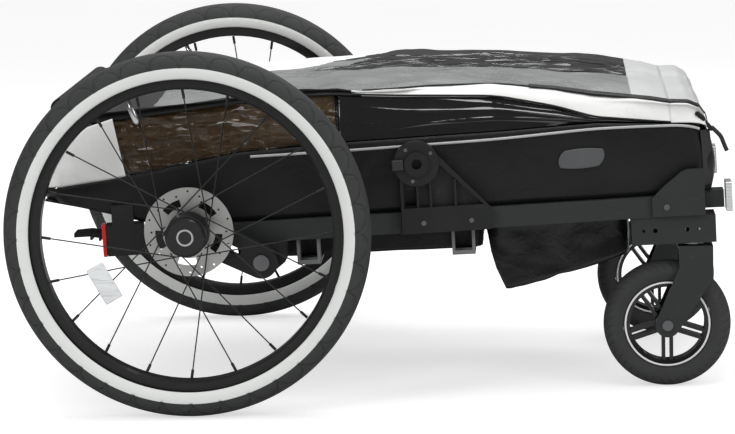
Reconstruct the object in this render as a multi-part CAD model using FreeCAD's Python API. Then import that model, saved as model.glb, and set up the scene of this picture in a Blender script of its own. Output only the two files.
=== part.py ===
import FreeCAD, Part
import math
import os

# Two-seat child bicycle trailer, folded flat on its wheels. Millimetres, degrees.
# Working frame: x = 0 at the rear axle, +X to the front, +Y to the left, z = 0 on the ground.
# export() moves every piece so that the origin is the middle of the footprint.
# Chassis pieces are drawn level, with z = 0 on the underside of the side beams, then pitched.

V = FreeCAD.Vector

# ---- stance ----
WHEEL_R = 250.0             # outside radius of the rear tyres
TRACK = 761.4               # between the rear wheel planes
CASTOR_R = 88.5             # outside radius of the castor tyres
CASTOR_TRACK = 416.0        # between the castor wheel planes
CASTOR_AXLE_X = 652.0       # castor axle ahead of the rear axle
CASTOR_TRAIL = 37.0         # castor axle behind the swivel axis
NOSE_REACH = 745.0          # rear axle to the front reflector's face
PITCH = 1.83                # the chassis rises to the front by this angle
AXLE_ABOVE_BEAM = 29.2      # rear axle above the beams' underside, at the axle

# ---- clearances ----
RUN_FIT = 0.05              # radial, shafts that turn or slide in bores
SEAT_GAP = 0.2              # between pieces that are fixed together

# ---- rear wheel ----
TYRE_W = 46.0
TYRE_WALL = 4.0
TYRE_DEPTH = 37.0           # tread to the rim's outer edge
RIM_OUT_R = WHEEL_R - TYRE_DEPTH
RIM_DEPTH = 14.4
RIM_W = 25.0
RIM_WALL = 2.0
HUB_OUT = 27.3              # hub's outer face from the wheel plane
HUB_IN = 36.7               # hub's inner face from the wheel plane
HUB_CAP_R = 26.0
HUB_CAP_W = 8.0
HUB_BARREL_R = 17.5
FLANGE_R = 29.0
FLANGE_W = 6.7
FLANGE_AT = 24.7            # rotor side of the inner flange from the wheel plane
ROTOR_BOSS_R = 22.0
ROTOR_R = 61.0
ROTOR_T = 2.0
ROTOR_WINDOWS = 5
ROTOR_HOLES = 20
ROTOR_BOLTS = 5
SPOKES = 20
SPOKE_R = 0.9
NIPPLE_R = 2.0
NIPPLE_L = 12.0
AXLE_R = 6.0
BEARING_R = 12.0
BEARING_W = 8.0
AXLE_HEAD_R = 11.5
BUTTON_R = 9.0
BUTTON_STROKE = 2.0
BUTTON_H = 4.0
LOCK_HOLES = 12
LOCK_HOLE_RING_R = 17.0
LOCK_PIN_R = 2.5
LOCK_HOLE_PLAY = 0.5
LOCK_HOLE_DEPTH = 9.0

# ---- suspension arm ----
ARM_PIVOT_DX = 96.0         # pivot ahead of the axle
ARM_PIVOT_DZ = -47.0        # and below it
ARM_T = 20.0
ARM_TO_HUB = 6.0
ARM_BOSS_R = 24.0
ARM_END_R = 22.0
ARM_PIN_R = 7.0

# ---- side beams ----
BEAM_H = 29.0
BEAM_W = 25.0
BEAM_WALL = 2.0
BEAM_REAR_X = -66.0
BEAM_FRONT_X = 640.0
BEAM_REAR_HALF = 305.0      # outer face from the middle, at the beam's rear end
BEAM_FRONT_HALF = 236.0     # and at its front end
SHELL_INSET = 10.0          # fabric shell inside the beams' outer faces

# ---- front corners and castors ----
CORNER_X0 = 633.0
CORNER_X1 = 706.0
CORNER_T = 5.5
CORNER_TOP = 66.0
CASTOR_BOX_X0 = 603.0
CASTOR_BOX_X1 = 720.0
CASTOR_BOX_H = 38.0
CASTOR_BOX_W = 54.0
CASTOR_BOX_WALL = 2.5
CASTOR_W = 37.0
CASTOR_RIM_R = 61.0
CASTOR_HUB_R = 15.0
CASTOR_SPOKES = 5
CASTOR_BOLT_R = 4.0
CASTOR_BEARING_R = 11.0
FORK_T = 5.0
FORK_GAP = 5.0              # daylight between castor box and fork crown
STEM_R = 6.0
CUP_R = 16.0
CROSS_TUBE = 22.0

# ---- folding upper frame, in the level chassis frame ----
HUB_X = 311.8               # rear hoop pivot
HUB_Z = 97.3
NOSE_X = 694.3              # front frame pivot
NOSE_Z = 132.0
FRONT_BAR_X = 206.0         # front frame's cross bar
FRONT_BAR_Z = 184.7
REAR_BAR_X = -144.2         # rear hoop's cross bar
REAR_BAR_Z = 183.9
HOOP_HALF = 240.0           # rear hoop's side tubes from the middle
HOOP_TUBE_R = 12.5
HOOP_WALL = 1.5
REAR_BAR_R = 9.0
FRONT_HALF = 208.0          # front frame's side tubes from the middle
FRONT_TUBE_R = 10.0
FRONT_BAR_R = 9.0
PIVOT_R = 5.0
KNUCKLE_R = 13.0
ROOF_BAR_HALF = 189.0
ROOF_BAR_T = 6.0
ROOF_BAR_H = 16.0
ROOF_EYE_R = 13.5
ROOF_SLOT = 8.6             # the rear eye is slotted this far each way, so the linkage can breathe
ROOF_SLOT_PLAY = 2.0        # and has this much radial clearance on the rear bar
HANDLE_TUBE_R = HOOP_TUBE_R - HOOP_WALL - RUN_FIT
HANDLE_REACH = 40.0         # handle bar behind the rear cross bar
HANDLE_LEG = 250.0
HANDLE_BEND_R = 22.0
GRIP_R = 14.0

# ---- hinge brackets ----
BRACKET_T = 14.0
DISC_R = 31.0
DISC_CAP_R = 17.0
DISC_CAP_H = 5.0
DISC_HOLE_R = 7.0
LOCK_W = 15.5
LOCK_H = 14.0

# ---- fabric shell ----
SKIN = 3.0
SHELL_REAR_X = -203.0
SHELL_FRONT_X = 727.0
SHELL_REAR_BEVEL = 26.0
SHELL_FRONT_BEVEL = 20.0
WELL_HALF = 225.0           # sunk seat well: half width, ends and floor
WELL_X0 = 110.0
WELL_X1 = 395.0
WELL_Z = -31.0
BAG_HALF = 200.0            # footwell bag: half width, ends and lowest point
BAG_X0 = 404.0
BAG_X1 = CASTOR_BOX_X0 - 3.0
BAG_Z = -97.0

# ---- foot brake ----
PEDAL_X = -108.0
PEDAL_DROP = 26.0           # below the rear axle
PEDAL_L = 62.0
PEDAL_W = 36.0
PEDAL_Y = -248.0

# ---- tow socket, left front ----
TOW_Y = 110.0
TOW_BORE_R = 12.5
TOW_WALL = 3.0
TOW_L = 62.0

# ---- worked out ----
REAR_AXLE_X = (WHEEL_R - NOSE_REACH) / 2
AXLE_Z = WHEEL_R
BEAM_Z = AXLE_Z - AXLE_ABOVE_BEAM
PEDAL_Z = AXLE_Z - PEDAL_DROP
WHEEL_Y = TRACK / 2
CASTOR_Y = CASTOR_TRACK / 2
SWIVEL_X = CASTOR_AXLE_X + CASTOR_TRAIL
RIM_IN_R = RIM_OUT_R - RIM_DEPTH
ARM_OUT_Y = WHEEL_Y - HUB_IN - ARM_TO_HUB
ARM_IN_Y = ARM_OUT_Y - ARM_T
ARM_PIVOT_X = ARM_PIVOT_DX
ARM_PIVOT_Z = AXLE_Z + ARM_PIVOT_DZ
BEAM_TAPER = (BEAM_REAR_HALF - BEAM_FRONT_HALF) / (BEAM_FRONT_X - BEAM_REAR_X)
BEAM_ANGLE = math.degrees(math.atan(BEAM_TAPER))
CASTOR_OUT = CASTOR_Y + CASTOR_BOX_W / 2
CORNER_IN = CASTOR_OUT - 30.0
HOOP_LEN = math.hypot(HUB_X - REAR_BAR_X, REAR_BAR_Z - HUB_Z)
HOOP_ANGLE = math.degrees(math.atan2(REAR_BAR_Z - HUB_Z, HUB_X - REAR_BAR_X))
PLATE_Z = BEAM_H + 1.2      # underside of the shell's floor
POST_HALF = FRONT_HALF - FRONT_TUBE_R - 14.0    # nose posts, inside the front frame's knuckles
CORNER_FACE = CASTOR_OUT + 2.0                  # inner face of the corner plate, clear of the beam


# ================= helpers =================

def box(x0, x1, y0, y1, z0, z1):
    return Part.makeBox(x1 - x0, y1 - y0, z1 - z0, V(x0, y0, z0))


def rod_y(x, z, r, y0, y1):
    return Part.makeCylinder(r, y1 - y0, V(x, y0, z), V(0, 1, 0))


def rod_z(x, y, r, z0, z1):
    return Part.makeCylinder(r, z1 - z0, V(x, y, z0))


def rod_x(y, z, r, x0, x1):
    return Part.makeCylinder(r, x1 - x0, V(x0, y, z), V(1, 0, 0))


def rod(start, end, r):
    return Part.makeCylinder(r, (end - start).Length, start, end - start)


def side_prism(points, y0, y1):
    """A side-view outline in x and z, drawn out along Y."""
    loop = [V(x, y0, z) for x, z in points]
    face = Part.Face(Part.makePolygon(loop + loop[:1]))
    return face.extrude(V(0, y1 - y0, 0))


def plan_prism(points, z0, z1):
    """A plan outline in x and y, drawn up along Z."""
    loop = [V(x, y, z0) for x, y in points]
    face = Part.Face(Part.makePolygon(loop + loop[:1]))
    return face.extrude(V(0, 0, z1 - z0))


def spun(points, x, z):
    """Outline of (radius, y) points, spun about the Y axis through x, z."""
    loop = [V(x + r, y, z) for r, y in points]
    face = Part.Face(Part.makePolygon(loop + loop[:1]))
    return face.revolve(V(x, 0, z), V(0, 1, 0), 360)


def link(x0, z0, r0, x1, z1, r1, y0, y1):
    """Flat link with two round ends and straight tangent-like sides."""
    along = V(x1 - x0, 0, z1 - z0)
    along.normalize()
    across = V(-along.z, 0, along.x)
    corners = [(x0, z0, r0), (x1, z1, r1), (x1, z1, -r1), (x0, z0, -r0)]
    side = [(x + across.x * r, z + across.z * r) for x, z, r in corners]
    ends = [rod_y(x0, z0, r0, y0, y1), rod_y(x1, z1, r1, y0, y1)]
    return side_prism(side, y0, y1).multiFuse(ends).removeSplitter()


def joined(shapes):
    return shapes[0].multiFuse(shapes[1:]).removeSplitter()


def group(shapes):
    return Part.Compound(shapes)


def mirrored(shape):
    return shape.mirror(V(0, 0, 0), V(0, 1, 0))


def pair(shape):
    return group([shape, mirrored(shape)])


def sided(shape, side):
    """Left-hand shapes are drawn; the right-hand one is the mirror image."""
    return shape if side == "left" else mirrored(shape)


def pitched(shape):
    """From the level chassis frame to the standing trailer."""
    tilted = shape.copy()
    tilted.rotate(V(0, 0, 0), V(0, 1, 0), -PITCH)
    tilted.translate(V(0, 0, BEAM_Z))
    return tilted


def standing(x, z):
    """Where a point of the level chassis frame lies on the standing trailer."""
    p = math.radians(PITCH)
    return x * math.cos(p) - z * math.sin(p), BEAM_Z + z * math.cos(p) + x * math.sin(p)


def level(x, z):
    """The reverse of standing()."""
    p = math.radians(PITCH)
    rise = z - BEAM_Z
    return x * math.cos(p) + rise * math.sin(p), rise * math.cos(p) - x * math.sin(p)


def beam_half(x):
    """Half width over the beams' outer faces."""
    return BEAM_REAR_HALF - (x - BEAM_REAR_X) * BEAM_TAPER


def along_beam(x):
    """Chassis x as a distance along the slanting left beam."""
    return x / math.cos(math.radians(BEAM_ANGLE))


def on_beam(shape):
    """Left beam's own frame: y = 0 is the outer face, +y outwards, x as on the chassis."""
    placed = shape.copy()
    placed.rotate(V(0, 0, 0), V(0, 0, 1), -BEAM_ANGLE)
    placed.translate(V(0, beam_half(0), 0))
    return placed


def hoop_point(reach, drop=0.0):
    """A point on the rear hoop's line, reach from its pivot, drop below the line."""
    a = math.radians(HOOP_ANGLE)
    return (HUB_X - reach * math.cos(a) - drop * math.sin(a),
            HUB_Z + reach * math.sin(a) - drop * math.cos(a))


def export(name, shape):
    placed = shape.copy()
    placed.translate(V(REAR_AXLE_X, 0, 0))
    solids = placed.Solids
    if not solids or not placed.isValid() or any(s.Volume <= 0 for s in solids):
        raise ValueError("bad solid in " + name)
    kept = solids[0] if len(solids) == 1 else Part.Compound(solids)
    kept.exportStep("parts/" + name + ".step")
    print(name, len(solids), round(sum(s.Volume for s in solids) / 1000, 1), "cm3")


# ================= rear wheels =================

def tyre():
    centre_r = WHEEL_R - TYRE_W / 2
    ring = Part.makeTorus(centre_r, TYRE_W / 2, V(0, WHEEL_Y, AXLE_Z), V(0, 1, 0))
    air = Part.makeTorus(centre_r, TYRE_W / 2 - TYRE_WALL, V(0, WHEEL_Y, AXLE_Z), V(0, 1, 0))
    seat = rod_y(0, AXLE_Z, RIM_OUT_R + SEAT_GAP, WHEEL_Y - TYRE_W, WHEEL_Y + TYRE_W)
    return ring.cut(seat).cut(air)


def rim():
    half = RIM_W / 2
    waist = half - 3.0
    outer = [(RIM_IN_R, -waist), (RIM_IN_R + 3, -half), (RIM_OUT_R, -half),
             (RIM_OUT_R, half), (RIM_IN_R + 3, half), (RIM_IN_R, waist)]
    w = RIM_WALL
    inner = [(RIM_IN_R + w, -waist + w), (RIM_OUT_R - w, -half + w),
             (RIM_OUT_R - w, half - w), (RIM_IN_R + w, waist - w)]
    at_wheel = [[(r, WHEEL_Y + y) for r, y in loop] for loop in (outer, inner)]
    return spun(at_wheel[0], 0, AXLE_Z).cut(spun(at_wheel[1], 0, AXLE_Z))


def spokes():
    """Ten from each flange, every second one leading, with a nipple at the rim."""
    laced = []
    root_r = FLANGE_R + 2 * SPOKE_R
    rim_r = RIM_IN_R - SEAT_GAP
    step = 360.0 / SPOKES
    sides = {0: HUB_OUT - HUB_CAP_W - 3.5, 1: FLANGE_W - FLANGE_AT + 3.0}
    for i in range(SPOKES):
        lead = 1 if (i // 2) % 2 else -1
        y_root = WHEEL_Y + sides[i % 2] + 1.4 * lead
        rim_a = math.radians(step * i)
        root_a = rim_a + math.radians(62.0) * lead
        root = V(root_r * math.cos(root_a), y_root, AXLE_Z + root_r * math.sin(root_a))
        head = V(rim_r * math.cos(rim_a), WHEEL_Y, AXLE_Z + rim_r * math.sin(rim_a))
        back = (root - head).normalize()
        head = head + back * 1.0
        laced.append(rod(root, head, SPOKE_R).fuse(rod(head + back * NIPPLE_L, head, NIPPLE_R)))
    return group(laced)


def hub():
    out_y = WHEEL_Y + HUB_OUT
    in_y = WHEEL_Y - HUB_IN
    flange_y = WHEEL_Y - FLANGE_AT
    cap_y = out_y - HUB_CAP_W
    outer_flange = 3.0
    profile = [(0, in_y), (ROTOR_BOSS_R, in_y), (ROTOR_BOSS_R, flange_y), (FLANGE_R, flange_y),
               (FLANGE_R, flange_y + FLANGE_W), (HUB_BARREL_R, flange_y + FLANGE_W + 4),
               (HUB_BARREL_R, cap_y - 6), (FLANGE_R - 1, cap_y - outer_flange),
               (FLANGE_R - 1, cap_y), (HUB_CAP_R, cap_y), (HUB_CAP_R, out_y - 2),
               (HUB_CAP_R - 2, out_y), (0, out_y)]
    body = spun(profile, 0, AXLE_Z)
    cuts = [rod_y(0, AXLE_Z, AXLE_R + 2, in_y - 1, out_y + 1),
            rod_y(0, AXLE_Z, BEARING_R + SEAT_GAP, in_y - 1, in_y + BEARING_W),
            rod_y(0, AXLE_Z, BEARING_R + SEAT_GAP, cap_y - BEARING_W, out_y + 1)]
    for i in range(LOCK_HOLES):
        a = 2 * math.pi * i / LOCK_HOLES
        x = LOCK_HOLE_RING_R * math.sin(a)
        z = AXLE_Z + LOCK_HOLE_RING_R * math.cos(a)
        cuts.append(rod_y(x, z, LOCK_PIN_R + LOCK_HOLE_PLAY, in_y - 1, in_y + LOCK_HOLE_DEPTH))
    return body.cut(joined(cuts))


def hub_bearings():
    in_y = WHEEL_Y - HUB_IN
    cap_y = WHEEL_Y + HUB_OUT - HUB_CAP_W
    rings = []
    for y0 in (in_y + 0.5, cap_y - BEARING_W + 0.5):
        ring = rod_y(0, AXLE_Z, BEARING_R, y0, y0 + BEARING_W - 1)
        rings.append(ring.cut(rod_y(0, AXLE_Z, AXLE_R + RUN_FIT, y0 - 1, y0 + BEARING_W)))
    return group(rings)


def axle_pin():
    """Quick-release axle: its cupped head holds the release button."""
    out_y = WHEEL_Y + HUB_OUT
    head_y = out_y - HUB_CAP_W + 0.5
    floor_y = out_y - BUTTON_H - BUTTON_STROKE
    shaft = rod_y(0, AXLE_Z, AXLE_R, ARM_IN_Y - 4, head_y)
    head = rod_y(0, AXLE_Z, AXLE_HEAD_R, head_y, out_y)
    cup = rod_y(0, AXLE_Z, BUTTON_R + RUN_FIT, floor_y, out_y + 1)
    return shaft.fuse(head).cut(cup)


def release_button():
    out_y = WHEEL_Y + HUB_OUT
    return rod_y(0, AXLE_Z, BUTTON_R, out_y - BUTTON_H, out_y)


def brake_rotor():
    """Disc with kidney windows and paired holes, and the bolts that hold it to the flange."""
    y1 = WHEEL_Y - FLANGE_AT - 0.5
    y0 = y1 - ROTOR_T
    disc = rod_y(0, AXLE_Z, ROTOR_R, y0, y1)
    cuts = [rod_y(0, AXLE_Z, ROTOR_BOSS_R + SEAT_GAP, y0 - 1, y1 + 1)]
    window = spun([(36, y0 - 1), (46, y0 - 1), (46, y1 + 1), (36, y1 + 1)], 0, AXLE_Z)
    wedge = side_prism([(0, 0), (70, -22), (70, 22)], y0 - 2, y1 + 2)
    wedge.translate(V(0, 0, AXLE_Z))
    window = window.common(wedge)
    for i in range(ROTOR_WINDOWS):
        turned = window.copy()
        turned.rotate(V(0, 0, AXLE_Z), V(0, 1, 0), 360.0 / ROTOR_WINDOWS * i - 50)
        cuts.append(turned)
    for i in range(ROTOR_HOLES):
        r = 56.0 if i % 2 else 51.0
        a = 2 * math.pi * i / ROTOR_HOLES
        cuts.append(rod_y(r * math.cos(a), AXLE_Z + r * math.sin(a), 1.5, y0 - 1, y1 + 1))
    bolts = []
    for i in range(ROTOR_BOLTS):
        a = 2 * math.pi * (i + 0.5) / ROTOR_BOLTS
        x = (ROTOR_BOSS_R + 4) * math.cos(a)
        z = AXLE_Z + (ROTOR_BOSS_R + 4) * math.sin(a)
        bolts.append(rod_y(x, z, 2.6, y0 - 2, y0 - 0.01))
    return group([disc.cut(joined(cuts))] + bolts)


# ================= suspension arms =================

def swing_arm():
    y0, y1 = ARM_IN_Y, ARM_OUT_Y
    bar = link(0, AXLE_Z, ARM_BOSS_R, ARM_PIVOT_X, ARM_PIVOT_Z, ARM_END_R, y0, y1)
    slot_from = 0.36
    slot_to = 0.66
    at = lambda f: (ARM_PIVOT_X * f, AXLE_Z + ARM_PIVOT_DZ * f)
    slot = link(*at(slot_from), 5.0, *at(slot_to), 5.0, y0 - 1, y1 + 1)
    cuts = [slot, rod_y(0, AXLE_Z, AXLE_R + SEAT_GAP / 2, y0 - 1, y1 + 1),
            rod_y(ARM_PIVOT_X, ARM_PIVOT_Z, ARM_PIN_R + RUN_FIT, y0 - 1, y1 + 1),
            rod_y(0, AXLE_Z + LOCK_HOLE_RING_R, LOCK_PIN_R + RUN_FIT, y0 - 1, y1 + 1)]
    return bar.cut(joined(cuts))


def lock_pin():
    """Brake pin: in its bore in the arm, clear of the hub when the brake is off."""
    z = AXLE_Z + LOCK_HOLE_RING_R
    pin = rod_y(0, z, LOCK_PIN_R, ARM_IN_Y - 7, ARM_OUT_Y + ARM_TO_HUB - 1.5)
    return pin.fuse(rod_y(0, z, LOCK_PIN_R + 1.5, ARM_IN_Y - 9, ARM_IN_Y - 7))


def arm_brackets():
    """Blocks under the beams that hold the arms' pivot pins."""
    px, pz = level(ARM_PIVOT_X, ARM_PIVOT_Z)
    y0 = beam_half(px) - BEAM_W - 4
    y1 = ARM_IN_Y - 4
    outline = [(px - 34, -0.3), (px + 34, -0.3), (px + 31, pz - 4), (px + 14, pz - 17),
               (px - 14, pz - 17), (px - 31, pz + 2)]
    block = pitched(side_prism(outline, y0, y1))
    return pair(block.cut(rod_y(ARM_PIVOT_X, ARM_PIVOT_Z, ARM_PIN_R, y0 - 5, y1 + 5)))


# ================= chassis =================

def side_beam():
    x0, x1 = along_beam(BEAM_REAR_X), along_beam(BEAM_FRONT_X)
    outer = box(x0, x1, -BEAM_W, 0, 0, BEAM_H)
    w = BEAM_WALL
    inner = box(x0 - 1, x1 + 1, -BEAM_W + w, -w, w, BEAM_H - w)
    return pitched(on_beam(outer.cut(inner)))


def cross_tubes():
    """Rear and front cross tubes, the nose posts with their top rail, and the pedal's lugs."""
    z0 = (BEAM_H - CROSS_TUBE) / 2
    tubes = []
    for x, half in ((-40.0, beam_half(-40) - BEAM_W - 3), (NOSE_X, CORNER_IN - SEAT_GAP)):
        outer = box(x - 12, x + 12, -half, half, z0, z0 + CROSS_TUBE)
        tubes.append(outer.cut(box(x - 10, x + 10, -half - 1, half + 1, z0 + 2, z0 + CROSS_TUBE - 2)))
    for side in (-1, 1):
        y = side * POST_HALF
        post = box(NOSE_X - 9, NOSE_X + 9, y - 9, y + 9, z0 + CROSS_TUBE, NOSE_Z + 9)
        tubes.append(post.cut(rod_y(NOSE_X, NOSE_Z, PIVOT_R, y - 20, y + 20)))
    rail = box(NOSE_X - 6, NOSE_X + 6, -POST_HALF + 9, POST_HALF - 9, NOSE_Z - 6, NOSE_Z + 6)
    tubes.append(rail)
    px, pz = level(PEDAL_X, PEDAL_Z)
    for y in (PEDAL_Y - PEDAL_W / 2 - 5.5, PEDAL_Y + PEDAL_W / 2 + 0.5):
        lug = side_prism([(px - 8, pz - 8), (px + 8, pz - 8), (-52.2, z0), (-52.2, z0 + CROSS_TUBE),
                          (px + 6, pz + 9), (px - 8, pz + 8)], y, y + 5)
        tubes.append(lug.cut(rod_y(px, pz, PIVOT_R, y - 5, y + 10)))
    return pitched(joined(tubes))


def beam_ends():
    """Moulded end housings behind the beams, with a post and the rear reflector's face."""
    x0 = -118.0
    x1 = along_beam(BEAM_REAR_X) - SEAT_GAP
    block = on_beam(box(x0, x1, -BEAM_W - 2, 3, -6, 37))
    post = on_beam(box(x0 + 8, x0 + 38, -SHELL_INSET + 1.5, 3, 36, 64))
    plug = on_beam(box(x1 - 1, x1 + 24, -BEAM_W + BEAM_WALL + 0.4, -BEAM_WALL - 0.4,
                       BEAM_WALL + 0.4, BEAM_H - BEAM_WALL - 0.4))
    return pitched(pair(joined([block, post, plug])))


def rear_reflectors():
    lens = on_beam(box(-124.5, -118.3, -BEAM_W + 1, 1, -7, 38))
    return pitched(pair(lens.makeFillet(2.0, lens.Edges)))


def hinge_bracket():
    """Ribbed triangle clamped to the beam's outer face, with the round fold housing on top."""
    x0, x1 = HUB_X - 24.0, HUB_X + 99.0
    foot = BEAM_H + 3.0
    clamp = box(x0, x1, 0.3, BRACKET_T, 0.5, foot)
    web = side_prism([(x0, foot), (x1, foot), (HUB_X + 26, HUB_Z + 14), (HUB_X, HUB_Z + 20),
                      (x0, HUB_Z)], 0.3, BRACKET_T)
    hollow = side_prism([(x0 + 4, foot + 4), (x1 - 9, foot + 4), (HUB_X + 33, HUB_Z - 4),
                         (x0 + 4, HUB_Z - 4)], 4.3, BRACKET_T + 1)
    window = box(x0 + 6, x0 + 22, -1, 6, foot + 6, foot + 28)
    ribs = []
    for dx in (22.0, 40.0, 74.0):
        ribs.append(box(x0 + dx, x0 + dx + 3, 0.3, BRACKET_T - 1, foot, HUB_Z + 20 - dx * 0.6))
    disc = rod_y(HUB_X, HUB_Z, DISC_R, 0.3, BRACKET_T + 2)
    cap = rod_y(HUB_X, HUB_Z, DISC_CAP_R, BRACKET_T + 1, BRACKET_T + 2 + DISC_CAP_H)
    body = joined([web.cut(hollow), clamp] + ribs + [disc, cap]).cut(window)
    hole = rod_y(HUB_X, HUB_Z, DISC_HOLE_R, BRACKET_T - 4, BRACKET_T + 20)
    placed = on_beam(body.cut(hole))
    y = beam_half(HUB_X)
    return pitched(placed.cut(rod_y(HUB_X, HUB_Z, PIVOT_R, y - 60, y + BRACKET_T - 5)))


def fold_lock():
    """Release tab behind the round housing: it pulls rearwards along the beam."""
    x0 = HUB_X - DISC_CAP_R - 1.5 - LOCK_W
    y0 = BRACKET_T + 2.3
    tab = box(x0, x0 + LOCK_W, y0, y0 + 6, HUB_Z - LOCK_H / 2, HUB_Z + LOCK_H / 2)
    return pitched(on_beam(tab.makeFillet(1.5, tab.Edges)))


def pivot_pins():
    """Pins of the rear hoop, the front frame, the suspension arms and the pedal."""
    y_hub = beam_half(HUB_X)
    hoop = pitched(rod_y(HUB_X, HUB_Z, PIVOT_R, HOOP_HALF - HOOP_TUBE_R - 2, y_hub + BRACKET_T - 6))
    nose = pitched(rod_y(NOSE_X, NOSE_Z, PIVOT_R, POST_HALF - 9, FRONT_HALF + FRONT_TUBE_R + 2))
    px, _ = level(ARM_PIVOT_X, ARM_PIVOT_Z)
    arm = rod_y(ARM_PIVOT_X, ARM_PIVOT_Z, ARM_PIN_R, beam_half(px) - BEAM_W - 4, ARM_OUT_Y + 1)
    cap = rod_y(ARM_PIVOT_X, ARM_PIVOT_Z, ARM_PIN_R + 4, ARM_OUT_Y + 1, ARM_OUT_Y + 3)
    pedal = rod_y(PEDAL_X, PEDAL_Z, PIVOT_R, PEDAL_Y - PEDAL_W / 2 - 5.5, PEDAL_Y + PEDAL_W / 2 + 5.5)
    left = [hoop, nose, arm.fuse(cap)]
    return group(left + [mirrored(s) for s in left] + [pedal])


def floor_hangers():
    """Two flat floor bars, each hung under the beams by a wide U-shaped strap bracket."""
    bars = []
    for x in (WELL_X0 + 46, WELL_X1 - 25):
        half = beam_half(x) - 8
        bar = box(x - 16, x + 16, -half, half, WELL_Z - 5, WELL_Z - 1)
        ears = []
        for side in (1, -1):
            y0, y1 = sorted((side * (half - 22), side * half))
            strap = box(x - 16, x + 16, y0, y1, WELL_Z - 5, -0.3)
            strap = strap.cut(box(x - 12, x + 12, y0 - 40, y1 + 40, WELL_Z + 1, 1))
            ears.append(strap.cut(box(x - 20, x + 20, y0 + 3, y1 - 3, WELL_Z - 1, 1)))
        bars.append(joined([bar] + ears))
    return pitched(group(bars))


def corner_brackets():
    """Front corners: chamfered plate, beam block, reflector arm and the castor's box channel."""
    top = CORNER_TOP
    plate = side_prism([(CORNER_X0, 1), (CORNER_X0, 27), (CORNER_X0 + 14, 41),
                        (CORNER_X0 + 42, top - 3), (CORNER_X0 + 50, top), (CORNER_X1, top),
                        (CORNER_X1, 1)], CORNER_FACE, CORNER_FACE + CORNER_T)
    block = box(BEAM_FRONT_X + 4, CORNER_X1, CORNER_IN, CASTOR_OUT + 2, 1, PLATE_Z - 2)
    arm = box(CORNER_X1 - 1, NOSE_REACH - 11, CORNER_IN - 28, CORNER_IN + 4, 6, 30)
    foot = box(BEAM_FRONT_X + 30, CORNER_X1, CORNER_IN - 28, CORNER_IN + 1, 24, PLATE_Z - 2)
    corner = joined([plate, block, arm.fuse(foot)]).cut(
        box(NOSE_X - 13, NOSE_X + 13, 0, CORNER_IN - SEAT_GAP / 2, -5, BEAM_H))
    y0, y1 = CASTOR_Y - CASTOR_BOX_W / 2, CASTOR_OUT
    w = CASTOR_BOX_WALL
    channel = box(CASTOR_BOX_X0, CASTOR_BOX_X1, y0, y1, -CASTOR_BOX_H - 0.4, -0.4)
    channel = channel.cut(box(CASTOR_BOX_X0 - 1, CASTOR_BOX_X1 + 1, y0 + w, y1 - w,
                              -CASTOR_BOX_H - 0.4 + w, -0.4 - w))
    mid = -CASTOR_BOX_H / 2
    for x, r in ((17, 2.2), (33, 3.2), (77, 3.2), (93, 2.2)):
        channel = channel.cut(rod_y(CASTOR_BOX_X0 + x, mid, r, y0 - 1, y1 + 1))
    channel = pitched(channel).cut(rod_z(SWIVEL_X, CASTOR_Y, CUP_R + SEAT_GAP, 0, cup_top()))
    return pair(group([pitched(corner), channel]))


def cup_top():
    """Underside of the castor box's roof, over the swivel axis."""
    x, _ = level(SWIVEL_X, BEAM_Z)
    return standing(x, -CASTOR_BOX_WALL)[1] - 1.2


def crown_top():
    x, _ = level(SWIVEL_X, BEAM_Z)
    return standing(x, -CASTOR_BOX_H)[1] - FORK_GAP


def bearing_cups():
    """Flanged bushes in the castor boxes that the fork stems turn in."""
    z0 = crown_top() + 1.0
    cup = rod_z(SWIVEL_X, CASTOR_Y, CUP_R, z0, cup_top() - 0.3)
    return pair(cup.cut(rod_z(SWIVEL_X, CASTOR_Y, STEM_R + RUN_FIT, 0, cup_top() + 5)))


def front_reflectors():
    lens = box(NOSE_REACH - 8.6, NOSE_REACH, CORNER_IN - 32, CORNER_IN + 8, 0, 41)
    lens = lens.makeFillet(2.5, [e for e in lens.Edges if abs(e.tangentAt(0).x) > 0.9])
    placed = pitched(lens)
    placed.translate(V(NOSE_REACH - placed.BoundBox.XMax, 0, 0))
    return pair(placed)


def tow_socket():
    """Round socket under the front cross tube for a towing bar, open at the front."""
    r = TOW_BORE_R + TOW_WALL
    z = (BEAM_H - CROSS_TUBE) / 2 - r - 1.5
    x1 = NOSE_X + 14
    tube = rod_x(TOW_Y, z, r, x1 - TOW_L, x1)
    saddle = box(NOSE_X - 16, NOSE_X + 12, TOW_Y - 8, TOW_Y + 8, z, z + r + 1.3)
    lug = tube.fuse(saddle).cut(rod_x(TOW_Y, z, TOW_BORE_R, x1 - TOW_L - 1, x1 + 1))
    return pitched(lug.removeSplitter())


def frame_screws():
    """Heads of the screws in the fold housings, the clamps and the front corners."""
    heads = []
    for angle in (35, 125, 255):
        a = math.radians(angle)
        x, z = HUB_X + 24.5 * math.cos(a), HUB_Z + 24.5 * math.sin(a)
        heads.append(rod_y(x, z, 2.6, BRACKET_T + 2, BRACKET_T + 3.2))
    for dx in (6.0, 72.0):
        heads.append(rod_y(HUB_X + dx, BEAM_H / 2, 3.4, BRACKET_T, BRACKET_T + 1.4))
    on_frame = [pitched(on_beam(h)) for h in heads]
    y = CORNER_FACE + CORNER_T
    corner = pitched(rod_y(CORNER_X0 + 20, BEAM_H / 2, 4.2, y, y + 2))
    left = on_frame + [corner]
    return group(left + [mirrored(s) for s in left])


# ================= castors =================

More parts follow.
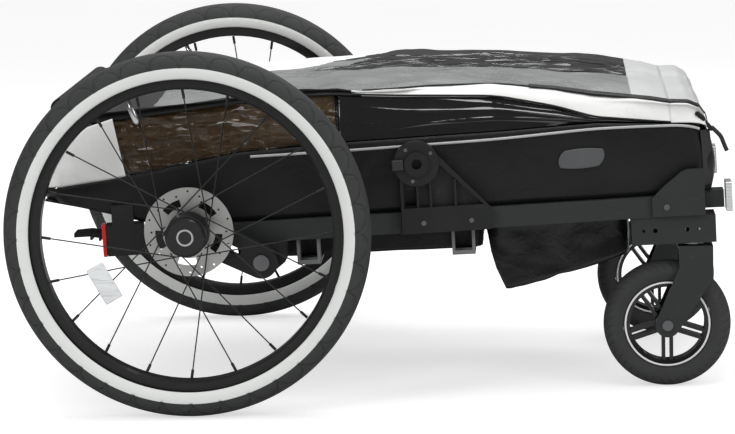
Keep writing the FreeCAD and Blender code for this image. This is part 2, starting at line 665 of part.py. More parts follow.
def castor_tyre():
    shoulder = CASTOR_W / 2
    y = CASTOR_Y
    profile = [(CASTOR_RIM_R + SEAT_GAP, y - shoulder + 4), (CASTOR_RIM_R + 10, y - shoulder),
               (CASTOR_R - 8, y - shoulder + 1), (CASTOR_R - 2.5, y - shoulder + 6),
               (CASTOR_R, y - shoulder + 13), (CASTOR_R, y + shoulder - 13),
               (CASTOR_R - 2.5, y + shoulder - 6), (CASTOR_R - 8, y + shoulder - 1),
               (CASTOR_RIM_R + 10, y + shoulder), (CASTOR_RIM_R + SEAT_GAP, y + shoulder - 4)]
    return spun(profile, CASTOR_AXLE_X, CASTOR_R)


def castor_wheel():
    """Rim, five paired-rib spokes and hub in one moulding, bored for its bearings."""
    y = CASTOR_Y
    x, z = CASTOR_AXLE_X, CASTOR_R
    rim_half = CASTOR_W / 2 - 4.5
    rim_r = CASTOR_RIM_R
    ring = spun([(rim_r - 9, y - rim_half + 2), (rim_r, y - rim_half), (rim_r, y + rim_half),
                 (rim_r - 9, y + rim_half - 2)], x, z)
    hub_half = CASTOR_W / 2 + 1.5
    barrel = rod_y(x, z, CASTOR_HUB_R, y - hub_half, y + hub_half)
    ribs = []
    for i in range(CASTOR_SPOKES):
        for shift in (-5.5, 5.5):
            rib = box(x - 2.4 + shift, x + 2.4 + shift, y - 11, y + 11, z + 8, z + rim_r - 5)
            rib.rotate(V(x, y, z), V(0, 1, 0), 180 + 360.0 / CASTOR_SPOKES * i)
            ribs.append(rib)
    body = joined([ring, barrel] + ribs)
    seat = CASTOR_BEARING_R + SEAT_GAP / 2
    cuts = [rod_y(x, z, CASTOR_BOLT_R + 2, y - 40, y + 40),
            rod_y(x, z, seat, y - hub_half - 1, y - hub_half + 7),
            rod_y(x, z, seat, y + hub_half - 7, y + hub_half + 1)]
    return body.cut(joined(cuts))


def castor_bearings():
    hub_half = CASTOR_W / 2 + 1.5
    rings = []
    for y0 in (CASTOR_Y - hub_half + 0.2, CASTOR_Y + hub_half - 6.8):
        ring = rod_y(CASTOR_AXLE_X, CASTOR_R, CASTOR_BEARING_R, y0, y0 + 6.6)
        rings.append(ring.cut(rod_y(CASTOR_AXLE_X, CASTOR_R, CASTOR_BOLT_R + RUN_FIT, y0 - 1, y0 + 8)))
    return group(rings)


def castor_fork():
    """Flat crown and two tapering blades that lean back to the castor axle."""
    top = crown_top()
    out = CASTOR_BOX_W / 2
    x0, x1 = SWIVEL_X - 21, SWIVEL_X + 27
    crown = box(x0, x1, CASTOR_Y - out, CASTOR_Y + out, top - 6, top)
    blade_side = [(x0, top), (x1, top), (x1, top - 46), (CASTOR_AXLE_X + 16, CASTOR_R - 7),
                  (CASTOR_AXLE_X - 16, CASTOR_R + 6), (x0 + 1, top - 30)]
    pieces = [crown]
    for y0 in (CASTOR_Y - out, CASTOR_Y + out - FORK_T):
        pieces.append(side_prism(blade_side, y0, y0 + FORK_T))
        pieces.append(rod_y(CASTOR_AXLE_X, CASTOR_R, 17.0, y0, y0 + FORK_T))
    fork = joined(pieces)
    cuts = [rod_y(CASTOR_AXLE_X, CASTOR_R, CASTOR_BOLT_R, CASTOR_Y - 60, CASTOR_Y + 60),
            rod_z(SWIVEL_X, CASTOR_Y, STEM_R, top - 20, top + 5)]
    return fork.cut(joined(cuts))


def castor_pins():
    """Swivel stem with its retaining head, and the wheel's axle bolt."""
    top = crown_top()
    out = CASTOR_BOX_W / 2
    stem = rod_z(SWIVEL_X, CASTOR_Y, STEM_R, top - 6, cup_top() - 4)
    bolt = rod_y(CASTOR_AXLE_X, CASTOR_R, CASTOR_BOLT_R, CASTOR_Y - out, CASTOR_Y + out)
    heads = [rod_y(CASTOR_AXLE_X, CASTOR_R, 7.5, CASTOR_Y + out, CASTOR_Y + out + 2.5),
             rod_y(CASTOR_AXLE_X, CASTOR_R, 7.5, CASTOR_Y - out - 2.5, CASTOR_Y - out)]
    return group([stem, joined([bolt] + heads)])


# ================= folding upper frame =================

def rear_hoop():
    """Two open-ended side tubes with pivot knuckles, joined by the rear and lower cross bars."""
    r = HOOP_TUBE_R
    tubes = []
    for side in (-1, 1):
        y = side * HOOP_HALF
        (xa, za), (xb, zb) = hoop_point(KNUCKLE_R + 1), hoop_point(HOOP_LEN + 8)
        tube = rod(V(xa, y, za), V(xb, y, zb), r)
        (xs, zs), (xe, ze) = hoop_point(40), hoop_point(HOOP_LEN + 20)
        tubes.append(tube.cut(rod(V(xs, y, zs), V(xe, y, ze), HANDLE_TUBE_R + RUN_FIT)))
        (xk, zk) = hoop_point(KNUCKLE_R + 6)
        tubes.append(rod_y(HUB_X, HUB_Z, KNUCKLE_R, y - 11, y + 11))
        tubes.append(link(HUB_X, HUB_Z, KNUCKLE_R, xk, zk, 12, y - 10, y + 10))
    frame = joined(tubes)
    inner = HOOP_HALF - r + 1
    bars = []
    for reach, bar_r in ((HOOP_LEN, REAR_BAR_R), (56.0, 8.0)):
        x, z = hoop_point(reach)
        bars.append(rod_y(x, z, bar_r, -inner, inner))
    keep_open = []
    for side in (-1, 1):
        (xs, zs), (xe, ze) = hoop_point(66), hoop_point(HOOP_LEN + 20)
        y = side * HOOP_HALF
        keep_open.append(rod(V(xs, y, zs), V(xe, y, ze), HANDLE_TUBE_R + RUN_FIT))
    keep_open.append(rod_y(HUB_X, HUB_Z, PIVOT_R + RUN_FIT, -HOOP_HALF - 30, HOOP_HALF + 30))
    return pitched(joined([frame] + bars).cut(joined(keep_open)))


def push_handle():
    """U-shaped handle: its legs slide in the hoop's side tubes, its bar carries a fat grip."""
    bar_reach = HOOP_LEN + HANDLE_REACH
    bend = HANDLE_BEND_R
    r = HANDLE_TUBE_R
    y = HOOP_HALF
    foot = hoop_point(bar_reach - HANDLE_LEG)
    knee = hoop_point(bar_reach - bend)
    top = hoop_point(bar_reach)
    mid = hoop_point(bar_reach - bend * (1 - math.sqrt(0.5)))
    side_y = y - bend * (1 - math.sqrt(0.5))
    foot_p = V(foot[0], y, foot[1])
    knee_p = V(knee[0], y, knee[1])
    turn_p = V(mid[0], side_y, mid[1])
    flat_p = V(top[0], y - bend, top[1])
    flip = lambda p: V(p.x, -p.y, p.z)
    path = Part.Wire([Part.makeLine(foot_p, knee_p),
                      Part.Arc(knee_p, turn_p, flat_p).toShape(),
                      Part.makeLine(flat_p, flip(flat_p)),
                      Part.Arc(flip(flat_p), flip(turn_p), flip(knee_p)).toShape(),
                      Part.makeLine(flip(knee_p), flip(foot_p))])
    section = Part.Wire([Part.makeCircle(r, foot_p, knee_p - foot_p)])
    tube = path.makePipeShell([section], True, False)
    grip = rod_y(top[0], top[1], GRIP_R, -(y - bend - 2), y - bend - 2)
    return pitched(tube.fuse(grip).removeSplitter())


def front_line(x):
    """Height of the front frame's side tubes."""
    t = (x - FRONT_BAR_X) / (NOSE_X - FRONT_BAR_X)
    return FRONT_BAR_Z + t * (NOSE_Z - FRONT_BAR_Z)


def front_frame():
    """Side tubes from the nose pivots back to the roof's front edge, with a cross bar."""
    pieces = []
    for side in (-1, 1):
        y = side * FRONT_HALF
        start = V(FRONT_BAR_X, y, FRONT_BAR_Z)
        end = V(NOSE_X - 8, y, front_line(NOSE_X - 8))
        pieces.append(rod(start, end, FRONT_TUBE_R))
        pieces.append(Part.makeSphere(FRONT_TUBE_R, start))
        pieces.append(rod_y(NOSE_X, NOSE_Z, KNUCKLE_R, y - FRONT_TUBE_R, y + FRONT_TUBE_R))
    pieces.append(rod_y(FRONT_BAR_X, FRONT_BAR_Z, FRONT_BAR_R, -FRONT_HALF, FRONT_HALF))
    mid_x = (FRONT_BAR_X + NOSE_X) / 2
    pieces.append(rod_y(mid_x, front_line(mid_x), 7.0, -FRONT_HALF, FRONT_HALF))
    bore = rod_y(NOSE_X, NOSE_Z, PIVOT_R + RUN_FIT, -FRONT_HALF - 20, FRONT_HALF + 20)
    return pitched(joined(pieces).cut(bore))


def roof_frame():
    """Two flat bars between the cross bars: a round eye in front, a slotted eye behind."""
    bars = []
    x0, z0, x1, z1 = REAR_BAR_X, REAR_BAR_Z, FRONT_BAR_X, FRONT_BAR_Z
    for side in (-1, 1):
        y = side * ROOF_BAR_HALF
        ya, yb = y - ROOF_BAR_T / 2, y + ROOF_BAR_T / 2
        bar = link(x0, z0, ROOF_BAR_H / 2, x1, z1, ROOF_BAR_H / 2, ya, yb)
        rear_eye = link(x0 - ROOF_SLOT, z0, ROOF_EYE_R, x0 + ROOF_SLOT, z0, ROOF_EYE_R, ya, yb)
        bars.append(joined([bar, rod_y(x1, z1, ROOF_EYE_R, ya, yb), rear_eye]))
    half = ROOF_BAR_HALF - ROOF_BAR_T / 2 + 1
    slats = [box(x - 12, x + 12, -half, half, z0 + 3, z0 + 8) for x in (-60.0, 120.0)]
    r = REAR_BAR_R + ROOF_SLOT_PLAY
    slot = link(x0 - ROOF_SLOT, z0, r, x0 + ROOF_SLOT, z0, r,
                -ROOF_BAR_HALF - 10, ROOF_BAR_HALF + 10)
    eye = rod_y(x1, z1, FRONT_BAR_R + RUN_FIT, -ROOF_BAR_HALF - 10, ROOF_BAR_HALF + 10)
    return pitched(joined(bars + slats).cut(slot).cut(eye))


# ================= soft parts, as plain closed solids =================

def shell_plan(inset, x0, x1):
    """Plan outline inside the beams' outer faces, straight past the front corners."""
    front = beam_half(BEAM_FRONT_X) - SHELL_INSET - inset
    rear_x = x0 + inset + SHELL_REAR_BEVEL
    rear = beam_half(rear_x) - SHELL_INSET - inset
    half = [(x0 + inset, rear - SHELL_REAR_BEVEL), (rear_x, rear), (BEAM_FRONT_X, front),
            (x1 - inset - SHELL_FRONT_BEVEL, front), (x1 - inset, front - SHELL_FRONT_BEVEL)]
    return half + [(x, -y) for x, y in reversed(half)]


RIM_LINE = [(SHELL_FRONT_X, 110.0), (700.0, 124.0), (561.0, 135.0), (424.0, 131.6),
            (222.0, 130.0), (64.0, 125.0), (-102.0, 98.5), (SHELL_REAR_X, 88.5)]


def tub():
    """Fabric shell: side walls up to the rim, floor over the beams and a sunk seat well."""
    floor = [(SHELL_REAR_X, 76.0), (-151.0, 63.0), (-40.0, PLATE_Z), (SHELL_FRONT_X, PLATE_Z)]
    raised = [(SHELL_REAR_X, 76.0 + SKIN), (-151.0, 63.0 + SKIN), (-39.0, PLATE_Z + SKIN),
              (SHELL_FRONT_X, PLATE_Z + SKIN)]
    span = beam_half(SHELL_REAR_X) + 20
    outer = plan_prism(shell_plan(0, SHELL_REAR_X, SHELL_FRONT_X), 0, 200)
    outer = outer.common(side_prism(floor + RIM_LINE, -span, span))
    over = [(x, z + 80) for x, z in RIM_LINE]
    inner = plan_prism(shell_plan(SKIN, SHELL_REAR_X, SHELL_FRONT_X), 0, 300)
    inner = inner.common(side_prism(raised + over, -span, span))
    well = box(WELL_X0, WELL_X1, -WELL_HALF, WELL_HALF, WELL_Z, PLATE_Z + 1)
    well_in = box(WELL_X0 + SKIN, WELL_X1 - SKIN, -WELL_HALF + SKIN, WELL_HALF - SKIN,
                  WELL_Z + SKIN, 60)
    body = joined([outer.cut(inner), well]).cut(well_in)
    cuts = [box(BAG_X0 + 8, BAG_X1 - 5, -BAG_HALF + 4, BAG_HALF - 4, 0, 60)]
    for side in (-1, 1):
        y = side * POST_HALF
        cuts.append(box(NOSE_X - 11, NOSE_X + 11, y - 11, y + 11, 0, 60))
    wall = beam_half(HUB_X)
    cuts.append(rod_y(HUB_X, HUB_Z, PIVOT_R + 2, -wall - 30, wall + 30))
    return pitched(body.cut(joined(cuts)))


def footwell_bag():
    """Wedge-shaped bag under the floor, open at the top for the children's feet."""
    x0, x1 = BAG_X0, BAG_X1
    toe_z = BAG_Z + 45
    side = [(x0, PLATE_Z - SEAT_GAP), (x0, -12), (x0 + 24, BAG_Z), (x1, toe_z),
            (x1, PLATE_Z - SEAT_GAP)]
    room = [(x0 + SKIN, PLATE_Z + 5), (x0 + SKIN, -11), (x0 + 26.5, BAG_Z + 4),
            (x1 - SKIN, toe_z + SKIN), (x1 - SKIN, PLATE_Z + 5)]
    outer = side_prism(side, -BAG_HALF, BAG_HALF)
    return pitched(outer.cut(side_prism(room, -BAG_HALF + SKIN, BAG_HALF - SKIN)))


def seat_cushion():
    half = WELL_HALF - 2 * SKIN
    pad = box(WELL_X0 + 6, WELL_X1 - 7, -half, half, WELL_Z + SKIN + 0.5, 26)
    return pitched(pad.makeFillet(10, pad.Edges))


def backrest():
    """Padded back panel under the rear hoop, between its side tubes."""
    half = HOOP_HALF - HOOP_TUBE_R - 8
    corners = [hoop_point(70, 16), hoop_point(432, 16), hoop_point(432, 32), hoop_point(70, 32)]
    return pitched(side_prism(corners, -half, half))


def side_windows():
    """Clear side panels, standing on the shell's rim in the folded trailer."""
    x0, x1 = SHELL_REAR_X + 34, 684.0
    span = beam_half(x0) + 20
    skin = 2.0
    low = [(x, z + 0.4) for x, z in RIM_LINE]
    top = [(x0, 164.0), (x1 - 120, 166.0), (x1, 150.0)]
    strip = side_prism([(SHELL_FRONT_X, 180)] + top[::-1] + [(x0 - 40, 164)] + low[::-1],
                       -span, span)
    outer = plan_prism(shell_plan(0, SHELL_REAR_X, SHELL_FRONT_X), 0, 300)
    inner = plan_prism(shell_plan(skin, SHELL_REAR_X, SHELL_FRONT_X), 0, 300)
    walls = outer.cut(inner).common(strip).common(box(x0, x1, -span, span, 0, 300))
    return pitched(walls)


def front_cover():
    """Front panel carried by the front frame, above its tubes."""
    x0, x1 = FRONT_BAR_X + 8, NOSE_X - 18
    profile = [(x0, front_line(x0) + 17), (x0, front_line(x0) + 23), (x0 + 120, front_line(x0) + 20),
               (x1 - 70, front_line(x1) + 25), (x1, front_line(x1) + 19), (x1, front_line(x1) + 14)]
    rear = beam_half(x0) - SHELL_INSET - 6
    front = beam_half(BEAM_FRONT_X) - SHELL_INSET - 6
    plan = [(x0, rear), (BEAM_FRONT_X, front), (x1, front), (x1, -front),
            (BEAM_FRONT_X, -front), (x0, -rear)]
    return pitched(side_prism(profile, -300, 300).common(plan_prism(plan, 0, 300)))


def roof_cover():
    """Roof panel on the roof frame's bars."""
    x0, x1 = REAR_BAR_X + 17, FRONT_BAR_X - 2
    z = REAR_BAR_Z + 15.5
    crown = [(x0, z), (x1, z), (x1, z + 5), ((x0 + x1) / 2, z + 8), (x0, z + 5)]
    half = HOOP_HALF + HOOP_TUBE_R + 6
    return pitched(side_prism(crown, -half, half))


def rear_cover():
    """Gathered rear panel, bundled above the shell's rear rim."""
    half = beam_half(SHELL_REAR_X) - SHELL_INSET - 24
    bundle = side_prism([(-198, 92), (-160, 96), (-152, 150), (-164, 164), (-190, 158)], -half, half)
    return pitched(bundle)


# ================= foot brake =================

def brake_pedal():
    """Lever behind the rear cross tube: pressing its end down pushes the lock pins out."""
    y0, y1 = PEDAL_Y - PEDAL_W / 2, PEDAL_Y + PEDAL_W / 2
    x, z = PEDAL_X, PEDAL_Z
    tread = side_prism([(x, z + 1), (x, z + 9), (x - 40, z + 15), (x - PEDAL_L, z + 13),
                        (x - PEDAL_L, z + 7), (x - 40, z + 8)], y0, y1)
    ribs = []
    for dx in (16, 28, 40):
        ribs.append(box(x - dx, x - dx + 3, y0 + 2, y1 - 2, z - 2 + dx * 0.12, z + 8))
    pieces = [tread, rod_y(x, z, 9.0, y0, y1)] + ribs
    return joined(pieces).cut(rod_y(x, z, PIVOT_R + RUN_FIT, y0 - 5, y1 + 5))


# ================= all the pieces =================

SIDED = {
    "tyre": tyre, "rim": rim, "spokes": spokes, "hub": hub, "hub_bearings": hub_bearings,
    "axle_pin": axle_pin, "release_button": release_button, "brake_rotor": brake_rotor,
    "swing_arm": swing_arm, "brake_pin": lock_pin, "side_beam": side_beam,
    "hinge_bracket": hinge_bracket, "fold_lock": fold_lock, "castor_tyre": castor_tyre,
    "castor_wheel": castor_wheel, "castor_bearings": castor_bearings,
    "castor_fork": castor_fork, "castor_pins": castor_pins,
}

WHOLE = {
    "cross_tubes": cross_tubes, "beam_ends": beam_ends, "rear_reflectors": rear_reflectors,
    "arm_brackets": arm_brackets, "pivot_pins": pivot_pins, "floor_hangers": floor_hangers,
    "corner_brackets": corner_brackets, "bearing_cups": bearing_cups,
    "front_reflectors": front_reflectors, "tow_socket": tow_socket,
    "frame_screws": frame_screws, "rear_hoop": rear_hoop, "push_handle": push_handle,
    "front_frame": front_frame, "roof_frame": roof_frame, "tub": tub,
    "footwell_bag": footwell_bag, "seat_cushion": seat_cushion, "backrest": backrest,
    "side_windows": side_windows, "front_cover": front_cover, "roof_cover": roof_cover,
    "rear_cover": rear_cover, "brake_pedal": brake_pedal,
}


def main():
    os.makedirs("parts", exist_ok=True)
    for name, make in SIDED.items():
        shape = make()
        for side in ("left", "right"):
            export(name + "_" + side, sided(shape, side))
    for name, make in WHOLE.items():
        export(name, make())
    for label, x, z in (("hub", HUB_X, HUB_Z), ("nose", NOSE_X, NOSE_Z),
                        ("front bar", FRONT_BAR_X, FRONT_BAR_Z)):
        sx, sz = standing(x, z)
        print("pivot", label, round(sx + REAR_AXLE_X, 3), round(sz, 3))


main()
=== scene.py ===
import math

import bmesh
import bpy
import numpy as np
from mathutils import Matrix, Vector, noise


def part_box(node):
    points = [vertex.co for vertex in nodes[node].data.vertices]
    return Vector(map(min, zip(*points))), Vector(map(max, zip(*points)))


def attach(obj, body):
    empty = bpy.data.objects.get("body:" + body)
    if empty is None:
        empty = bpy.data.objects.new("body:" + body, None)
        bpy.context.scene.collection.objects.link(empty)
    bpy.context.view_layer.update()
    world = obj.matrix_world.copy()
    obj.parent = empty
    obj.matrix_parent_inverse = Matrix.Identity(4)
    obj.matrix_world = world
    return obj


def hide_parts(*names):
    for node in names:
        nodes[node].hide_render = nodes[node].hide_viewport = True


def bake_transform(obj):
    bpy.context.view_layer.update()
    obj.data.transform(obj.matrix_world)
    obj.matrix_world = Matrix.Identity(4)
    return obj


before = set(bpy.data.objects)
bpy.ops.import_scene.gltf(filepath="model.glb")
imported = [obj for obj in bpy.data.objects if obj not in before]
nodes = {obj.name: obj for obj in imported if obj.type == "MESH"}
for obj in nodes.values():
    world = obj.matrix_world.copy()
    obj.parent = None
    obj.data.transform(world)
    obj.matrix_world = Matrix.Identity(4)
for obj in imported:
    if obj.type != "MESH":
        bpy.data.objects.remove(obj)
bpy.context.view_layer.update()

scene = bpy.context.scene
mm = 0.001


def middle(node):
    low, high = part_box(node)
    return (low + high) / 2


# The level chassis frame: millimetres from the rear axle, z = 0 under the side beams.
axle = middle("rim_left")
chassisFrame = dict(pitch=math.radians(1.83), axleX=axle.x, beamZ=axle.z - 29.2 * mm)
wheelY = axle.y
tyreRadius = axle.z


def chassis(x, y, z):
    c, s = math.cos(chassisFrame["pitch"]), math.sin(chassisFrame["pitch"])
    return Vector(((x * c - z * s) * mm + chassisFrame["axleX"], y * mm,
                   (z * c + x * s) * mm + chassisFrame["beamZ"]))


def wheelCentre(side):
    return Vector((axle.x, wheelY if side == "left" else -wheelY, axle.z))


def between(a, b, t):
    return a + (b - a) * t


def smooth(t):
    t = min(max(t, 0.0), 1.0)
    return t * t * (3 - 2 * t)


def alongCurve(points, t):
    # Catmull-Rom through the points, t from 0 to 1
    last = len(points) - 1
    at = min(max(t, 0.0), 1.0) * last
    i = min(int(at), last - 1)
    f = at - i
    p = [Vector(points[min(max(k, 0), last)]) for k in (i - 1, i, i + 1, i + 2)]
    return 0.5 * (2 * p[1] + (p[2] - p[0]) * f + (2 * p[0] - 5 * p[1] + 4 * p[2] - p[3]) * f ** 2
                  + (3 * p[1] - p[0] - 3 * p[2] + p[3]) * f ** 3)


def heightAt(line, x):
    # line is (x, value) points, read with straight runs
    if x <= line[0][0]:
        return line[0][1]
    for (x0, low), (x1, high) in zip(line, line[1:]):
        if x <= x1:
            return low + (high - low) * (x - x0) / (x1 - x0)
    return line[-1][1]


# ---- materials ----

def nodeGroup(name, inputs, outputs):
    group = bpy.data.node_groups.new(name, "ShaderNodeTree")
    for label, value in inputs:
        socket = group.interface.new_socket(label, in_out="INPUT", socket_type="NodeSocketFloat")
        socket.default_value = value
    for label in outputs:
        group.interface.new_socket(label, in_out="OUTPUT", socket_type="NodeSocketFloat")
    return group, group.nodes.new("NodeGroupInput"), group.nodes.new("NodeGroupOutput")


def addNode(tree, kind, links=(), **settings):
    node = tree.nodes.new("ShaderNode" + kind)
    for key, value in settings.items():
        if key.startswith("in"):
            node.inputs[int(key[2:])].default_value = value
        else:
            setattr(node, key, value)
    for source, socket in links:
        tree.links.new(source, node.inputs[socket])
    return node


def addBump(tree, height, strength, distance, under=None):
    bump = addNode(tree, "Bump", [(height, "Height")] + ([(under, "Normal")] if under else []))
    bump.inputs["Strength"].default_value = strength
    bump.inputs["Distance"].default_value = distance
    return bump.outputs[0]


def buildGrain():
    # moulded or painted surface: a fine skin, slow patches and sparse scuffs
    group, given, result = nodeGroup("mouldedGrain", [("Scale", 900.0)], ["Height", "Patches", "Scuffs"])
    place = addNode(group, "TexCoord").outputs["Object"]
    fine = addNode(group, "TexNoise", [(place, "Vector"), (given.outputs["Scale"], "Scale")], in3=4.0)
    slow = addNode(group, "TexNoise", [(place, "Vector")], in2=18.0, in3=4.0, in4=0.6)
    streak = addNode(group, "Mapping", [(place, 0)])
    streak.inputs["Scale"].default_value = (14.0, 60.0, 90.0)
    marks = addNode(group, "TexNoise", [(streak.outputs[0], "Vector")], in2=3.0, in3=6.0, in4=0.7)
    thin = addNode(group, "MapRange", [(marks.outputs[0], 0)], in1=0.6, in2=0.72)
    for source, label in ((fine.outputs[0], "Height"), (slow.outputs[0], "Patches"),
                          (thin.outputs[0], "Scuffs")):
        group.links.new(source, result.inputs[label])
    return group


def buildWeave():
    # over-and-under threads along the piece's own cloth directions, in metres
    group, given, result = nodeGroup("clothWeave", [("Threads", 900.0)], ["Height", "Patches", "Creases"])
    cloth = addNode(group, "UVMap").outputs[0]
    split = addNode(group, "SeparateXYZ", [(cloth, 0)])
    waves = []
    for axis in (0, 1):
        phase = addNode(group, "Math", [(split.outputs[axis], 0), (given.outputs["Threads"], 1)],
                        operation="MULTIPLY")
        turn = addNode(group, "Math", [(phase.outputs[0], 0)], operation="MULTIPLY", in1=math.pi)
        waves.append(addNode(group, "Math", [(turn.outputs[0], 0)], operation="SINE").outputs[0])
    both = addNode(group, "Math", [(waves[0], 0), (waves[1], 1)], operation="MULTIPLY")
    height = addNode(group, "MapRange", [(both.outputs[0], 0)], in1=-1.0, in2=1.0)
    place = addNode(group, "TexCoord").outputs["Object"]
    slow = addNode(group, "TexNoise", [(place, "Vector")], in2=9.0, in3=5.0, in4=0.55)
    crease = addNode(group, "TexNoise", [(place, "Vector")], in2=26.0, in3=5.0, in4=0.62, in8=1.4)
    for source, label in ((height.outputs[0], "Height"), (slow.outputs[0], "Patches"),
                          (crease.outputs[0], "Creases")):
        group.links.new(source, result.inputs[label])
    return group


def buildRipples():
    # long soft folds, and short crackles as strong as Crackle says
    group, given, result = nodeGroup("filmRipples", [("Scale", 14.0), ("Crackle", 1.0)], ["Height", "Haze"])
    place = addNode(group, "TexCoord").outputs["Object"]
    stretch = addNode(group, "Mapping", [(place, 0)])
    stretch.inputs["Scale"].default_value = (0.45, 1.0, 2.2)
    long = addNode(group, "TexNoise", [(stretch.outputs[0], "Vector"), (given.outputs["Scale"], "Scale")],
                   in3=2.0, in4=0.45, in8=1.2)
    short = addNode(group, "TexVoronoi", [(stretch.outputs[0], "Vector")], feature="DISTANCE_TO_EDGE",
                    in2=20.0)
    edge = addNode(group, "MapRange", [(short.outputs[0], 0)], in1=0.0, in2=0.2)
    sharp = addNode(group, "Math", [(edge.outputs[0], 0), (given.outputs["Crackle"], 1)],
                    operation="MULTIPLY")
    height = addNode(group, "Math", [(long.outputs[0], 0), (sharp.outputs[0], 2)], operation="MULTIPLY_ADD",
                     in1=3.0)
    haze = addNode(group, "TexNoise", [(place, "Vector")], in2=40.0, in3=5.0)
    group.links.new(height.outputs[0], result.inputs["Height"])
    group.links.new(haze.outputs[0], result.inputs["Haze"])
    return group


groups = {"mouldedGrain": buildGrain(), "clothWeave": buildWeave(), "filmRipples": buildRipples()}
groupScale = {"mouldedGrain": "Scale", "clothWeave": "Threads", "filmRipples": "Scale"}


def makeMaterial(name, low, high, roughness, metallic=0.0, bump=0.2, distance=0.0004, texture="mouldedGrain",
                 scale=900.0, mask="Patches", coat=0.0, sheen=0.0, specular=0.3, extra=None, crackle=None,
                 constants=()):
    material = bpy.data.materials.new(name)
    material.use_nodes = True
    tree = material.node_tree
    shader = tree.nodes["Principled BSDF"]
    pattern = tree.nodes.new("ShaderNodeGroup")
    pattern.node_tree = groups[texture]
    pattern.inputs[groupScale[texture]].default_value = scale
    if crackle is not None:
        pattern.inputs["Crackle"].default_value = crackle
    colour = addNode(tree, "Mix", [(pattern.outputs[mask], 0)], data_type="RGBA")
    colour.inputs[6].default_value = (*low, 1)
    colour.inputs[7].default_value = (*high, 1)
    gloss = addNode(tree, "MapRange", [(pattern.outputs[mask], 0)], in1=0.3, in2=0.7)
    gloss.inputs[3].default_value, gloss.inputs[4].default_value = roughness
    relief = addBump(tree, pattern.outputs["Height"], bump, distance)
    tree.links.new(colour.outputs[2], shader.inputs["Base Color"])
    tree.links.new(gloss.outputs[0], shader.inputs["Roughness"])
    tree.links.new(relief, shader.inputs["Normal"])
    for label, value in (("Metallic", metallic), ("Coat Weight", coat), ("Sheen Weight", sheen),
                         ("Specular IOR Level", specular)):
        shader.inputs[label].default_value = value
    for label, value in constants:
        shader.inputs[label].default_value = value
    if extra:
        extra(tree, shader, pattern, colour, relief)
    return material


def addCreases(strength, distance):
    # a second, broader relief under the weave
    def extra(tree, shader, pattern, colour, relief):
        folds = addBump(tree, pattern.outputs["Creases"], strength, distance)
        tree.links.new(folds, relief.node.inputs["Normal"])
    return extra


def addScuffs(tone, share):
    # paler rubbed marks
    def extra(tree, shader, pattern, colour, relief):
        part = addNode(tree, "Math", [(pattern.outputs["Scuffs"], 0)], operation="MULTIPLY", in1=share)
        worn = addNode(tree, "Mix", [(part.outputs[0], 0), (colour.outputs[2], 6)], data_type="RGBA")
        worn.inputs[7].default_value = (*tone, 1)
        tree.links.new(worn.outputs[2], shader.inputs["Base Color"])
    return extra


def addTurnedLines(centre, lines, strength):
    # fine rings left by turning or brushing about a wheel's axle
    def extra(tree, shader, pattern, colour, relief):
        place = addNode(tree, "TexCoord").outputs["Object"]
        moved = addNode(tree, "Mapping", [(place, 0)])
        moved.inputs["Location"].default_value = (-centre.x, 0.0, -centre.z)
        moved.inputs["Scale"].default_value = (1.0, 0.0, 1.0)
        far = addNode(tree, "VectorMath", [(moved.outputs[0], 0)], operation="LENGTH")
        ring = addNode(tree, "Math", [(far.outputs["Value"], 0)], operation="MULTIPLY", in1=lines)
        fine = addNode(tree, "TexNoise", [(ring.outputs[0], "W")], noise_dimensions="1D", in2=1.0, in3=3.0)
        rings = addBump(tree, fine.outputs[0], strength, 0.0002, relief)
        tree.links.new(rings, shader.inputs["Normal"])
    return extra


def addPrisms(size):
    # moulded corner-cube cells of a reflector lens
    def extra(tree, shader, pattern, colour, relief):
        place = addNode(tree, "TexCoord").outputs["Object"]
        cells = addNode(tree, "TexVoronoi", [(place, "Vector")], feature="F1", in2=1.0 / size, in8=0.15)
        facets = addBump(tree, cells.outputs["Distance"], 0.8, 0.001)
        tree.links.new(facets, shader.inputs["Normal"])
    return extra


def addMesh(size):
    # small round holes of a spacer mesh
    def extra(tree, shader, pattern, colour, relief):
        place = addNode(tree, "TexCoord").outputs["Object"]
        cells = addNode(tree, "TexVoronoi", [(place, "Vector")], feature="F1", in2=1.0 / size, in8=0.25)
        hole = addNode(tree, "MapRange", [(cells.outputs["Distance"], 0)], in1=0.2, in2=0.5)
        holes = addBump(tree, hole.outputs[0], 0.6, 0.0008, relief)
        tree.links.new(holes, shader.inputs["Normal"])
    return extra


def grey(v):
    return (v, v * 1.02, v * 1.03)


